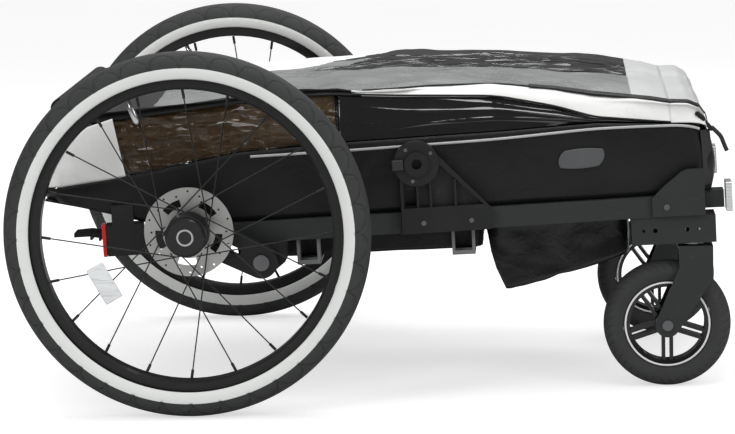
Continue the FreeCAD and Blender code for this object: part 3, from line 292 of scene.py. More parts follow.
def setMaterials():
    made = {}
    cloth = dict(texture="clothWeave")
    film = dict(texture="filmRipples", mask="Haze")

    def add(name, *values, **settings):
        made[name] = makeMaterial(name, *values, **settings)

    add("tyreRubber", grey(.034), grey(.058), (.62, .78), bump=.35, scale=1500.0, specular=.25,
        extra=addScuffs(grey(.09), .25))
    add("tyreWhite", (.76, .78, .76), (.84, .85, .83), (.5, .62), bump=.15, scale=900.0,
        extra=addScuffs((.5, .5, .47), .2))
    add("rimBlack", grey(.012), grey(.019), (.3, .42), bump=.1, coat=.12, extra=addScuffs(grey(.07), .3))
    add("spokeBlack", grey(.03), grey(.055), (.28, .4), metallic=.6, bump=.05)
    add("hubBlack", grey(.012), grey(.02), (.25, .38), bump=.1, coat=.2,
        extra=addTurnedLines(axle, 2600.0, .15))
    add("bearingSteel", (.55, .56, .57), (.66, .66, .67), (.2, .32), metallic=1.0, bump=.05)
    add("axleSilver", (.68, .69, .70), (.78, .78, .79), (.3, .42), metallic=1.0, bump=.05,
        extra=addTurnedLines(axle, 4000.0, .2))
    add("buttonBlack", grey(.012), grey(.018), (.18, .28), bump=.05, coat=.3)
    add("rotorSteel", (.56, .56, .54), (.68, .68, .66), (.32, .46), metallic=1.0, bump=.08,
        extra=addTurnedLines(axle, 3200.0, .35))
    add("armPlastic", grey(.013), grey(.022), (.42, .58), bump=.3, scale=1400.0, specular=.25,
        extra=addScuffs(grey(.07), .3))
    add("frameGrey", (.026, .029, .029), (.038, .042, .042), (.42, .52), metallic=.1, bump=.28, scale=2200.0,
        distance=.0003, extra=addScuffs(grey(.11), .25))
    add("blackPlastic", grey(.012), grey(.021), (.4, .56), bump=.3, scale=1600.0,
        extra=addScuffs(grey(.07), .3))
    add("lockPlastic", grey(.028), grey(.042), (.4, .52), bump=.3, scale=1600.0)
    add("castorRubber", grey(.03), grey(.052), (.6, .75), bump=.35, scale=1500.0,
        extra=addScuffs(grey(.12), .3))
    add("castorGloss", grey(.008), grey(.014), (.14, .26), bump=.05, coat=.35, extra=addScuffs(grey(.05), .3))
    add("stripeWhite", (.78, .78, .77), (.84, .84, .83), (.35, .45), bump=.05)
    add("screwSteel", (.16, .16, .165), (.26, .26, .27), (.3, .45), metallic=1.0, bump=.1)
    add("redLens", (.55, .005, .005), (.70, .02, .015), (.12, .2), coat=.5, extra=addPrisms(.004))
    add("clearLens", (.66, .68, .69), (.82, .83, .84), (.1, .2), metallic=.35, coat=.6,
        extra=addPrisms(.0045))
    add("hangerGrey", grey(.15), grey(.2), (.45, .6), bump=.25, scale=1400.0)
    add("tubeBlack", grey(.012), grey(.02), (.28, .4), metallic=.2, bump=.12, coat=.12,
        extra=addScuffs(grey(.09), .3))
    add("handleGrip", grey(.012), grey(.02), (.5, .62), bump=.4, scale=700.0)
    add("shellFabric", grey(.006), grey(.012), (.34, .5), **cloth, scale=1300.0, bump=.2, distance=.0003,
        sheen=.04, specular=.3, extra=addCreases(.35, .004), constants=[("Sheen Roughness", .4)])
    add("bagFabric", grey(.006), grey(.013), (.2, .36), **cloth, scale=1500.0, bump=.15,
        distance=.0002, coat=.2, extra=addCreases(.5, .005), constants=[("Coat Roughness", .3)])
    add("seatFabric", grey(.03), grey(.045), (.7, .85), bump=.5, scale=1100.0, distance=.0006, sheen=.12,
        extra=addMesh(.0032))
    add("coverWhite", (.72, .72, .705), (.80, .80, .785), (.62, .74), **cloth, scale=1100.0, bump=.3,
        distance=.0003, sheen=.05, extra=addCreases(.3, .004))
    add("noseGrey", (.50, .51, .505), (.58, .59, .585), (.4, .55), **cloth, scale=1100.0, bump=.2,
        distance=.0003, coat=.2, extra=addCreases(.3, .004))
    add("roofFabric", grey(.007), grey(.014), (.5, .64), **cloth, scale=1000.0, bump=.35,
        distance=.0004, sheen=.05, specular=.2, extra=addCreases(.4, .004))
    add("meshGrey", (.20, .21, .21), (.36, .37, .37), (.2, .4), **cloth, scale=420.0, bump=.3, distance=.0004,
        coat=.35, specular=.3, extra=addCreases(.5, .005), constants=[("Coat Roughness", .15)])
    add("liningBrown", (.12, .074, .036), (.22, .14, .07), (.4, .55), **cloth, scale=900.0,
        bump=.2, specular=.2, extra=addCreases(.4, .005))
    add("webbing", grey(.028), grey(.045), (.6, .75), **cloth, scale=600.0, bump=.6, distance=.0005)
    add("zipBlack", grey(.010), grey(.017), (.35, .5), bump=.4, scale=700.0)
    add("pipingSilver", (.40, .41, .41), (.56, .56, .56), (.3, .42), metallic=.3, bump=.15, scale=900.0)
    add("patchGrey", (.07, .073, .075), (.11, .113, .115), (.45, .6), bump=.3, scale=900.0)
    add("glossFilm", grey(.003), grey(.006), (.03, .08), **film, scale=12.0, bump=.9,
        distance=.007, specular=.9, coat=.8, crackle=1.0, constants=[("Coat Roughness", .03)])
    add("sideFilm", grey(.005), grey(.009), (.05, .11), **film, scale=7.0, bump=.22,
        distance=.006, specular=.9, coat=.7, crackle=0.0, constants=[("Coat Roughness", .04)])
    add("clearFilm", (.84, .81, .75), (.90, .87, .82), (.02, .07), **film, scale=20.0,
        bump=.7, distance=.005, crackle=1.0, constants=[("Transmission Weight", 1.0), ("IOR", 1.4)])
    add("reflectorClear", (.78, .80, .82), (.88, .9, .91), (.08, .2), **film,
        scale=60.0, bump=.6, distance=.002, coat=.6, crackle=1.0)
    add("valveSilver", (.6, .6, .6), (.72, .72, .72), (.18, .3), metallic=1.0, bump=.1)
    return made


materials = setMaterials()
print("materials:", len(materials))

def pairs(*names):
    return [name + "_" + side for name in names for side in ("left", "right")]


slotMaterials = {
    "tyreRubber": pairs("tyre"), "rimBlack": pairs("rim"),
    "spokeBlack": pairs("spokes"), "hubBlack": pairs("hub"),
    "bearingSteel": pairs("hub_bearings", "castor_bearings") + ["bearing_cups"],
    "axleSilver": pairs("axle_pin", "brake_pin"),
    "buttonBlack": pairs("release_button"),
    "rotorSteel": pairs("brake_rotor"),
    "armPlastic": pairs("swing_arm") + ["arm_brackets"],
    "frameGrey": pairs("side_beam", "castor_fork") + ["cross_tubes", "corner_brackets", "tow_socket"],
    "blackPlastic": pairs("hinge_bracket") + ["beam_ends", "brake_pedal"],
    "lockPlastic": pairs("fold_lock"),
    "castorRubber": pairs("castor_tyre"),
    "castorGloss": pairs("castor_wheel"),
    "screwSteel": pairs("castor_pins") + ["frame_screws", "pivot_pins"],
    "redLens": ["rear_reflectors"], "clearLens": ["front_reflectors"], "hangerGrey": ["floor_hangers"],
    "tubeBlack": ["rear_hoop", "front_frame", "roof_frame"], "handleGrip": ["push_handle"],
    "shellFabric": ["tub"], "bagFabric": ["footwell_bag"], "seatFabric": ["seat_cushion", "backrest"],
    "clearFilm": ["side_windows"], "coverWhite": ["front_cover"], "roofFabric": ["roof_cover", "rear_cover"],
}


def paintFrame():
    for name, members in slotMaterials.items():
        for node in members:
            slots = nodes[node].material_slots
            for slot in slots:
                slot.material = materials[name]
    print("frame pieces painted:", sum(len(m) for m in slotMaterials.values()), "of", len(nodes))


paintFrame()


# ---- shared makers ----

def addObject(name, data):
    made = bpy.data.objects.new(name, data)
    scene.collection.objects.link(made)
    return made


def finishPiece(name, bm, finish):
    bmesh.ops.recalc_face_normals(bm, faces=bm.faces)
    mesh = bpy.data.meshes.new(name)
    bm.to_mesh(mesh)
    bm.free()
    piece = addObject(name, mesh)
    for key in ([finish] if isinstance(finish, str) else finish):
        mesh.materials.append(materials[key])
    mesh.shade_smooth()
    return piece


def thicken(piece, thickness, offset=-1.0):
    wall = piece.modifiers.new("wall", "SOLIDIFY")
    wall.thickness = thickness
    wall.offset = offset


def clothGrid(name, across, up, place, finish, zone=None, folds=0.0, foldSize=0.05, ring=False,
              seed=0.0, calm=6.0):
    # a grid laid on place(u, v) in metres, pushed out by soft folds that die at the open borders
    bm = bmesh.new()
    bmesh.ops.create_grid(bm, x_segments=across, y_segments=up, size=0.5, calc_uvs=True)
    uv = bm.loops.layers.uv.verify()
    flat = {}
    for vert in bm.verts:
        u, v = vert.co.x + 0.5, vert.co.y + 0.5
        flat[vert] = (u, v)
        vert.co = place(u, v)
    bm.normal_update()
    width = (place(0.5, 0.5) - place(0.52, 0.5)).length / 0.02
    height = sum((place(0.5, k / 10) - place(0.5, (k + 1) / 10)).length for k in range(10))
    moved = {}
    for vert in bm.verts:
        u, v = flat[vert]
        rest = min(v, 1 - v) if ring else min(u, 1 - u, v, 1 - v)
        push = noise.noise(vert.co / foldSize + Vector((seed, seed, seed)))
        push += 0.5 * noise.noise(vert.co / (foldSize * 0.45) + Vector((seed, 0, seed)))
        moved[vert] = vert.co + vert.normal * (push * folds * smooth(rest * calm))
    for vert, spot in moved.items():
        vert.co = spot
    for face in bm.faces:
        if zone:
            u = sum(flat[v][0] for v in face.verts) / 4
            v = sum(flat[w][1] for w in face.verts) / 4
            face.material_index = zone(u, v, face.calc_center_median())
        for loop in face.loops:
            u, v = flat[loop.vert]
            loop[uv].uv = (u * width, v * height)
    if ring:
        bmesh.ops.remove_doubles(bm, verts=bm.verts, dist=0.0003)
    return finishPiece(name, bm, finish)


def cordTube(name, points, radius, finish):
    curve = bpy.data.curves.new(name, "CURVE")
    curve.dimensions = "3D"
    curve.bevel_depth = radius
    curve.bevel_resolution = 2
    curve.use_fill_caps = True
    curve.resolution_u = 4
    line = curve.splines.new("NURBS")
    line.points.add(len(points) - 1)
    for point, where in zip(line.points, points):
        point.co = (*where, 1)
    line.order_u = 3
    line.use_endpoint_u = True
    holder = addObject(name + "Line", curve)
    mesh = bpy.data.meshes.new_from_object(holder.evaluated_get(bpy.context.evaluated_depsgraph_get()))
    bpy.data.objects.remove(holder)
    piece = addObject(name, mesh)
    mesh.materials.clear()
    mesh.materials.append(materials[finish])
    mesh.shade_smooth()
    return piece


def spinRing(name, profile, centre, steps, finish, zone=None, relief=None, sectors=8):
    # profile is (radius, y) in metres about the Y axis through centre, and relief(angle, radius, y)
    # sinks the surface.
    # One sector is spun, and its copies are turned and joined.
    bm = bmesh.new()
    chain = [bm.verts.new((centre.x + r, centre.y + y, centre.z)) for r, y in profile]
    edges = [bm.edges.new(pair) for pair in zip(chain, chain[1:] + chain[:1])]
    bmesh.ops.spin(bm, geom=chain + edges, cent=centre, axis=(0, 1, 0), angle=math.tau / sectors,
                   steps=steps // sectors)
    sector = bm.verts[:] + bm.edges[:] + bm.faces[:]
    for k in range(1, sectors):
        copy = bmesh.ops.duplicate(bm, geom=sector)["geom"]
        turned = [part for part in copy if isinstance(part, bmesh.types.BMVert)]
        bmesh.ops.rotate(bm, verts=turned, cent=centre,
                         matrix=Matrix.Rotation(math.tau * k / sectors, 3, "Y"))
    bmesh.ops.remove_doubles(bm, verts=bm.verts, dist=0.00001)
    bmesh.ops.recalc_face_normals(bm, faces=bm.faces)
    if zone:
        for face in bm.faces:
            spot = face.calc_center_median() - centre
            face.material_index = zone(math.hypot(spot.x, spot.z), spot.y)
    if relief:
        bm.normal_update()
        for vert in bm.verts:
            spot = vert.co - centre
            sink = relief(math.atan2(spot.z, spot.x), math.hypot(spot.x, spot.z), spot.y)
            if sink:
                vert.co -= vert.normal * sink
    return finishPiece(name, bm, finish)


# ---- rear tyres ----

tyre = dict(tube=0.023, white=(0.2137, 0.2282), bead=0.2132, scales=36, archWide=0.0205, archHigh=0.021,
            groove=0.0012, depth=0.0024, steps=1080, crown=0.11, wall=0.004, skin=0.002, offTread=0.0004,
            notch=(0.013, 0.019), notchWidth=0.001, slant=0.28, centreWidth=0.0012)


def tyreProfile():
    ring = tyreRadius - tyre["tube"]
    side = math.acos((tyre["bead"] - ring) / tyre["tube"])
    outer = [between(-side, side, k / 56) for k in range(57)]
    points = [(ring + tyre["tube"] * math.cos(a), tyre["tube"] * math.sin(a)) for a in outer]
    inner = tyre["tube"] - tyre["wall"]
    for k in range(12):
        a = between(side * 0.93, -side * 0.93, k / 11)
        points.append((ring + inner * math.cos(a), inner * math.sin(a)))
    return points


def tyreRelief(angle, radius, y):
    ring = tyreRadius - tyre["tube"]
    section = math.atan2(abs(y), radius - ring)
    if math.hypot(radius - ring, y) < tyre["tube"] - tyre["skin"]:
        return 0.0
    across = (math.radians(88) - section) * tyre["tube"]
    if across < 0:
        return 0.0
    sector = math.tau / tyre["scales"]
    along = ((angle + (sector / 2 if y > 0 else 0)) % sector / sector - 0.5) * sector * tyreRadius
    slant = along - across * tyre["slant"]
    arch = math.hypot(slant / tyre["archWide"], across / tyre["archHigh"])
    gap = abs(arch - 1) * tyre["archHigh"]
    sink = tyre["depth"] * (1 - smooth(gap / tyre["groove"]))
    notch = abs(slant - 0.006 + (across - 0.018) * 0.8)
    if tyre["notch"][0] < across < tyre["notch"][1]:
        sink = max(sink, tyre["depth"] * 0.7 * (1 - smooth(notch / tyre["notchWidth"])))
    if arch > 1:
        sink += tyre["offTread"]
    centre = abs(section - tyre["crown"]) * tyre["tube"]
    return max(sink, tyre["depth"] * (1 - smooth(centre / tyre["centreWidth"])))


def makeTyre(side):
    low, high = tyre["white"]
    centre = wheelCentre(side)
    ring = tyreRadius - tyre["tube"]

    def zone(radius, y):
        outside = math.hypot(radius - ring, y) > tyre["tube"] - tyre["skin"]
        return 1 if outside and low < radius < high else 0

    piece = spinRing("rearTyre_" + side, tyreProfile(), centre, tyre["steps"], ["tyreRubber", "tyreWhite"],
                     zone, tyreRelief)
    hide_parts("tyre_" + side)
    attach(piece, "wheel_" + side)


for side in ("left", "right"):
    makeTyre(side)
print("rear tyres made")


# ---- castor tyres and their pale stripe ----

castorTyre = dict(radius=0.0885, half=0.0185, bore=0.0613, sipes=44, width=0.0011, depth=0.0014, steps=704,
                  stripeR=0.0585, stripeW=0.0013, stripeY=0.0143, stripeHigh=0.0011, treadDeep=0.013,
                  skew=11.0, ribHalf=0.0065, ribGroove=0.0045, ribWidth=0.0009)


def castorProfile():
    c = castorTyre
    rough = [(c["bore"], -c["half"] + .004), (c["bore"] + .010, -c["half"]),
             (c["radius"] - .009, -c["half"] + .0006), (c["radius"] - .003, -c["half"] + .006),
             (c["radius"], -c["half"] + .013), (c["radius"], 0.0)]
    outer = [alongCurve([(r, y, 0) for r, y in rough], k / 26) for k in range(27)]
    half = [(p.x, p.y) for p in outer]
    return half + [(r, -y) for r, y in reversed(half[:-1])]


def castorRelief(angle, radius, y):
    c = castorTyre
    if radius < c["radius"] - c["treadDeep"]:
        return 0.0
    sector = math.tau / c["sipes"]
    turned = angle + (0.5 * sector if y > 0 else 0) + abs(y) * c["skew"]
    along = (turned % sector / sector - 0.5) * sector * c["radius"]
    if abs(y) < c["ribHalf"]:
        return c["depth"] * 0.8 * (1 - smooth(abs(abs(y) - c["ribGroove"]) / c["ribWidth"]))
    fade = smooth((radius - c["radius"] + c["treadDeep"]) / 0.003)
    return c["depth"] * (1 - smooth(abs(along) / c["width"])) * fade


def makeCastorTyre(side):
    hub = middle("castor_wheel_" + side)
    piece = spinRing("castorTread_" + side, castorProfile(), hub, castorTyre["steps"], "castorRubber",
                     None, castorRelief)
    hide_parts("castor_tyre_" + side)
    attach(piece, "castor_wheel_" + side)
    for face in (-1, 1):
        r, w = castorTyre["stripeR"], castorTyre["stripeW"]
        y = face * castorTyre["stripeY"]
        proud = y + face * castorTyre["stripeHigh"]
        loop = [(r - w, y), (r - w, proud), (r + w, proud), (r + w, y)]
        stripe = spinRing(f"castorStripe_{side}_{'outer' if face > 0 else 'inner'}", loop, hub, 96,
                          "stripeWhite")
        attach(stripe, "castor_wheel_" + side)


for side in ("left", "right"):
    makeCastorTyre(side)
print("castor tyres made")


# ---- fabric shell ----

# Heights along the level chassis, millimetres.
rimLine = [(-203, 88.5), (-102, 98.5), (64, 125), (222, 130), (424, 131.6), (561, 135), (690, 126),
           (704, 119), (717, 110)]
floorLine = [(-203, 77), (-151, 64), (-40, 31), (717, 31)]
beamTaper = [(-250, 323.0), (-66, 305.0), (640, 236.0), (760, 236.0)]
shell = dict(inset=10.0, rear=-203.0, front=717.0, rearBevel=26.0, frontBevel=20.0, wall=0.0022, floor=31.0,
             folds=0.0022, lap=4.0, well=(110, 395, 225, -31), bagMouth=(412, 592, 196))


def shellHalf(x):
    return heightAt(beamTaper, x) - shell["inset"]


def shellPlan():
    s = shell
    rear, front = shellHalf(s["rear"]), shellHalf(s["front"])
    side = [(s["rear"], 0), (s["rear"], rear - s["rearBevel"]), (s["rear"] + s["rearBevel"], rear),
            (640, front), (s["front"] - s["frontBevel"], front), (s["front"], front - s["frontBevel"]),
            (s["front"], 0)]
    return side + [(x, -y) for x, y in reversed(side[:-1])]


def planPath(t, plan):
    # distance along the plan's straight runs
    runs = [math.dist(a, b) for a, b in zip(plan, plan[1:])]
    left = min(max(t, 0.0), 1.0) * sum(runs)
    for (ax, ay), (bx, by), run in zip(plan, plan[1:], runs):
        if left <= run:
            f = left / run if run else 0.0
            return ax + (bx - ax) * f, ay + (by - ay) * f
        left -= run
    return plan[-1]


def makeShell():
    plan = shellPlan()

    def wall(u, v):
        x, y = planPath(u, plan)
        low, high = heightAt(floorLine, x), heightAt(rimLine, x)
        bulge = 2.5 * math.sin(math.pi * v)
        grow = 1 + bulge / 300
        return chassis(x * grow, y * grow, between(low, high, v))

    piece = clothGrid("shellWalls", 300, 14, wall, "shellFabric", folds=shell["folds"],
                      foldSize=0.09, ring=True, calm=4.0, seed=3.0)
    thicken(piece, shell["wall"])
    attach(piece, "chassis")
    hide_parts("tub")

    def floor(u, v):
        x = between(shell["rear"] + 3, shell["front"] - 3, u)
        y = between(-1, 1, v) * (shellHalf(x) - 3)
        return chassis(x, y, heightAt(floorLine, x))

    deck = clothGrid("shellFloor", 124, 60, floor, "shellFabric", folds=0.0008, foldSize=0.08)
    mesh = deck.data
    bm = bmesh.new()
    bm.from_mesh(mesh)
    x0, x1, half, _ = shell["well"]
    b0, b1, bagHalf = shell["bagMouth"]
    holes = [(x0, x1, half), (b0, b1, bagHalf)]
    inside = []
    for face in bm.faces:
        c = face.calc_center_median()
        x = (c.x - chassisFrame["axleX"]) / mm
        if any(a < x < b - shell["lap"] and abs(c.y) < (h - shell["lap"]) * mm for a, b, h in holes):
            inside.append(face)
    bmesh.ops.delete(bm, geom=inside, context="FACES")
    bm.to_mesh(mesh)
    bm.free()
    thicken(deck, shell["wall"])
    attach(deck, "chassis")


def roundedRect(t, x0, x1, half, r):
    # a point on a rounded rectangle, starting at the middle of its rear side
    arcs = []
    for cx, cy, start in ((x0 + r, half - r, 180), (x1 - r, half - r, 90), (x1 - r, -half + r, 0),
                          (x0 + r, -half + r, -90)):
        for k in range(5):
            a = math.radians(start - 22.5 * k)
            arcs.append((cx + r * math.cos(a), cy + r * math.sin(a)))
    loop = [(x0, 0)] + arcs + [(x0, 0)]
    return planPath(t, loop)


def makeWell():
    x0, x1, half, low = shell["well"]
    depth = shell["floor"] - low

    def basin(u, v):
        x, y = roundedRect(u, x0 - 1, x1 + 1, half + 1, 22)
        wallShare = 0.6
        if v < wallShare:
            k = v / wallShare
            return chassis(x, y, shell["floor"] - depth * k)
        k = (v - wallShare) / (1 - wallShare)
        return chassis(between(x, (x0 + x1) / 2, k), between(y, 0, k), low - 2 * math.sin(math.pi * k))

    piece = clothGrid("seatWell", 160, 20, basin, "shellFabric", folds=0.0012, foldSize=0.07,
                      ring=True, seed=8.0)
    thicken(piece, shell["wall"])
    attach(piece, "chassis")


bag = dict(x0=404, x1=599, half=199, top=30.5, toe=[(404, -12), (411, -60), (426, -97), (520, -76),
                                                    (599, -52)], folds=0.0032, wall=0.0018)


def makeBag():
    def pouch(u, v):
        x, y = roundedRect(u, bag["x0"], bag["x1"], bag["half"], 16)
        share = 0.7
        sag = 5.0 * math.sin(math.pi * min(v / share, 1)) * (0.4 + 0.6 * abs(y) / bag["half"])
        if v < share:
            k = v / share
            out = 1 - 0.035 * math.sin(math.pi * k) + sag * 0.002
            low = heightAt(bag["toe"], x)
            return chassis(x, y * out, between(bag["top"], low, k))
        k = (v - share) / (1 - share)
        x = between(x, (bag["x0"] + bag["x1"]) / 2, k)
        return chassis(x, between(y, 0, k), heightAt(bag["toe"], x) - 3 * math.sin(math.pi * k))

    piece = clothGrid("footwellPouch", 190, 30, pouch, "bagFabric", folds=bag["folds"],
                      foldSize=0.045, ring=True, seed=5.0)
    thicken(piece, bag["wall"], offset=1.0)
    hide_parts("footwell_bag")
    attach(piece, "chassis")


makeShell()
makeWell()
makeBag()
print("shell, seat well and footwell bag made")


# ---- piping along the shell's rim ----

piping = dict(radius=0.0019, xs=(84, 150, 222, 330, 424, 500, 561, 640, 690, 703),
              drop=[(84, 8), (222, 12), (424, 11), (561, 8), (640, 4), (703, 1)])


def makePiping():
    for side, sign in (("left", 1), ("right", -1)):
        line = [chassis(x, sign * (shellHalf(x) + 2.5),
                        heightAt(rimLine, x) + 1.0 - heightAt(piping["drop"], x)) for x in piping["xs"]]
        piece = cordTube("rimPiping_" + side, line, piping["radius"], "pipingSilver")
        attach(piece, "chassis")


makePiping()


# ---- folding top ----

# Along the level chassis: outer edge height, inset of that edge from the shell, and heights inward of it.
edgeLine = [(-140, 176), (-60, 181), (60, 190), (150, 196), (206, 194), (287, 187), (425, 178), (508, 160),
            (558, 143), (640, 132), (700, 125)]
edgeInset = [(-140, 26), (420, 26), (540, 4), (700, 3)]
shoulderRise = [(-140, 6), (206, 5), (235, 3), (320, 7), (425, 8), (508, 14), (558, 19), (640, 21), (700, 21)]
crownLine = [(-140, 196), (60, 196), (150, 198), (220, 201), (287, 203), (425, 196), (560, 181), (640, 168),
             (690, 154)]
farLine = [(-140, 196), (60, 196), (150, 198), (220, 203), (287, 208), (425, 201), (560, 187), (640, 173),
           (690, 156)]
# Where the panels meet, millimetres from the middle (negative is the right side).
whiteSeam = [(-140, -262), (206, -262), (235, -254), (270, -232), (340, -197), (425, -183), (560, -196),
             (640, -203), (700, -207)]
glossSeam = [(-140, 60), (130, 60), (200, 25), (287, 8), (425, 0), (560, -2), (640, 40), (700, 80)]
blackSeam = [(-140, 120), (287, 138), (425, 158), (560, 150), (640, 120), (700, 110)]
whiteShare = [(-140, 0.5), (150, 0.5), (226, 0.05), (300, 0.3), (425, 0.5), (700, 0.5)]
top = dict(x0=-138.0, x1=664.0, across=170, up=64, folds=0.0026, foldSize=0.06, wall=0.0012,
           greyFrom=-50, noseFrom=612, flapFrom=130, flapTo=292, flapSlope=0.85, whiteFrom=226,
           glossFrom=150)


topSeams = {"whiteSeam": (2, 240, 0.0013), "edgeSeamRight": (0, 226, 0.0014),
            "edgeSeamLeft": (9, 226, 0.0014)}


def topRow(k, x):
    # ten rows from the right edge to the left edge, with nine bands between them
    edge = shellHalf(x) - heightAt(edgeInset, x)
    low = heightAt(edgeLine, x)
    rise = heightAt(shoulderRise, x)
    crown = heightAt(crownLine, x)
    far = heightAt(farLine, x)
    white = max(heightAt(whiteSeam, x), -edge + 16)
    gloss = heightAt(glossSeam, x)
    black = heightAt(blackSeam, x)
    inner = between(low + rise, crown, heightAt(whiteShare, x))
    rows = [(-edge, low), (-edge + 11, low + rise), (white, max(inner, low + rise + 1)),
            ((white + gloss) / 2, crown - 1), (gloss, crown), ((gloss + black) / 2, crown + 1), (black, far),
            (edge - 26, far), (edge - 9, between(low + rise, far, 0.6)), (edge, low + 2)]
    return (x, *rows[k])


def topPlace(u, v):
    x = between(top["x0"], top["x1"], u)
    rows = [topRow(k, x) for k in range(10)]
    return chassis(*alongCurve(rows, v))


def topZone(u, v, centre):
    x = between(top["x0"], top["x1"], u)
    band = v * 9
    y = centre.y / mm
    if y > 100 + max(x - top["flapFrom"], 0) * top["flapSlope"] and x < top["flapTo"]:
        return 0
    if x > top["noseFrom"] and band > 2:
        return 4
    if band < 2:
        return 0 if x > top["whiteFrom"] + max(1 - band, 0) * 16 else 1
    if band < 4:
        return 2 if x > top["greyFrom"] else 1
    if band < 6:
        if x > top["glossFrom"] + (band - 4) * 40:
            return 3
        return 2 if x > top["greyFrom"] else 1
    return 1


def declareCloth(piece):
    # the cut size is what the finished cloth measures
    mesh = piece.data
    area = sum(p.area for p in mesh.polygons)
    uv = np.zeros(len(mesh.loops) * 2)
    mesh.uv_layers[0].data.foreach_get("uv", uv)
    uv = uv.reshape(-1, 2)
    width, length = (float(v) for v in uv.max(0) - uv.min(0))
    if area > width * length:
        grow = math.sqrt(area / (width * length)) * 1.002
        width, length = width * grow, length * grow
    print("cloth", piece.name, round(width, 3), round(length, 3), "m, area", round(area, 4))


def makeTop():
    piece = clothGrid("topCover", top["across"], top["up"], topPlace, ["coverWhite", "roofFabric", "meshGrey",
                                                                       "glossFilm", "noseGrey"],
                      topZone, top["folds"], top["foldSize"], seed=2.0, calm=12.0)
    thicken(piece, top["wall"])
    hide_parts("front_cover", "roof_cover")
    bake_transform(piece)
    declareCloth(piece)
    for name, (k, start, r) in topSeams.items():
        line = [chassis(*topRow(k, x)) + Vector((0, 0, 0.001)) for x in np.linspace(start, top["x1"], 22)]
        cord = cordTube(name, line, r, "zipBlack")
        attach(cord, "front_frame")


nose = dict(rows=[(664, 1.0), (688, 0.96), (702, 0.80), (711, 0.44), (714, 0.0)], side=222.0, folds=0.0014,
            wall=0.0012)


def nosePlace(u, v):
    # closes the top down to the shell's front rim, and its sides hang over the frame's knuckles
    k = min(int(u * 4), 3)
    f = u * 4 - k
    x = between(nose["rows"][k][0], nose["rows"][k + 1][0], f)
    share = between(nose["rows"][k][1], nose["rows"][k + 1][1], smooth(f) * 0.3 + f * 0.7)
    start = alongCurve([topRow(j, top["x1"]) for j in range(10)], v)
    rim = heightAt(rimLine, min(x, 700)) + 1.5
    reach = between(1.0, nose["side"] / 217, smooth(u * 3)) - 0.035 * smooth(u * 4 - 3)
    return chassis(x, start.y * reach, between(rim, start.z, share))


def noseZone(u, v, centre):
    return 0 if v * 9 < 2 else 1


def makeNose():
    piece = clothGrid("nosePanel", 40, 72, nosePlace, ["coverWhite", "noseGrey"], noseZone,
                      nose["folds"], 0.05, seed=12.0, calm=9.0)
    thicken(piece, nose["wall"])
    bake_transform(piece)
    declareCloth(piece)


# ---- side windows ----

window = dict(lowX=(-88, 640), belly=2.5, folds=0.003, wall=0.0006, split=206.0,
              creases=[(0.76, 0.40, 1.7, 0.045), (0.9, 0.72, 1.0, 0.03), (0.2, 0.5, 1.3, 0.04),
                       (0.45, 0.1, 1.3, 0.04)])


def windowPlace(sign, x0, x1, lift=0.0):
    # long creases run along the film, each from one height to another
    def place(u, v):
        x = between(x0, x1, u)
        low, high = chassisMm(x, 0.0, sign), chassisMm(x, 1.0, sign)
        p = low.lerp(high, v)
        out = window["belly"] * math.sin(math.pi * v)
        for start, end, size, width in window["creases"]:
            line = between(start, end, u) + 0.05 * math.sin(u * 9 + start * 20)
            out += size * math.exp(-abs(v - line) / width) * math.sin(math.pi * v)
        return chassis(p.x, p.y + sign * (out - 3 - lift), p.z)
    return place


def chassisMm(x, t, sign):
    # lower edge on the rim (t = 0) and upper edge under the top cover (t = 1)
    if x < 0:
        x = between(x, x - 25 * t, min(-x / 88, 1.0))
    y = shellHalf(x) - 3 - t * (heightAt(edgeInset, x) - 2)
    z = heightAt(edgeLine, x) + 1 if t else heightAt(rimLine, x) + 0.8
    return Vector((x, sign * y, z))


def makeWindows():
    x0, x1 = window["lowX"]
    cut = window["split"]
    for side, sign in (("left", 1), ("right", -1)):
        rear = clothGrid("rearFilm_" + side, 110, 50, windowPlace(sign, x0, cut), "clearFilm",
                         folds=window["folds"], foldSize=0.035, seed=21.0 + sign, calm=8.0)
        thicken(rear, window["wall"])
        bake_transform(rear)
        front = clothGrid("frontFilm_" + side, 150, 60, windowPlace(sign, cut + 0.5, x1), "sideFilm",
                          folds=window["folds"] * 0.35, foldSize=0.1, seed=31.0 + sign,
                          calm=8.0)
        thicken(front, window["wall"])
        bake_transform(front)
        for film in (rear, front):
            declareCloth(film)
        if side == "left":
            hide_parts("side_windows")
        lining = clothGrid("windowLining_" + side, 60, 16, windowPlace(sign, x0 + 4, cut - 4, lift=5),
                           "liningBrown", folds=0.0012, foldSize=0.05, seed=41.0 + sign)
        thicken(lining, 0.001)
        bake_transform(lining)


# ---- rear corners and gathered rear panel ----

rearTop = [(-203, 128), (-190, 142), (-150, 171), (-100, 184), (-80, 185)]
rear = dict(fromX=-88, folds=0.0035, wall=0.0012)


def makeRear():
    half = shellHalf(-203)
    plan = [(rear["fromX"], -(shellHalf(-88) - 2)), (-177, -(shellHalf(-177) - 2)), (-201, -(half - 28)),
            (-201, half - 28), (-177, shellHalf(-177) - 2), (rear["fromX"], shellHalf(-88) - 2)]

    def place(u, v):
        x, y = planPath(u, plan)
        if x > -177:
            x -= 25 * v * smooth((x + 177) / 60)
        lean = 1 - 0.05 * v
        rim = heightAt(rimLine, max(x, -203)) + 1
        high = heightAt(rearTop, x)
        return chassis(x * lean + 4 * v, y * lean, between(rim, high, v))

    def zone(u, v, centre):
        return 0 if abs(centre.y) > 0.17 else 1

    piece = clothGrid("rearPanel", 220, 24, place, ["coverWhite", "roofFabric"], zone,
                      rear["folds"], 0.05, seed=55.0, calm=7.0)
    thicken(piece, rear["wall"])
    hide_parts("rear_cover")
    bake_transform(piece)
    declareCloth(piece)


makeTop()
makeNose()
makeWindows()
makeRear()
print("top, nose, windows and rear panel made")


# ---- seat cushion and backrest ----

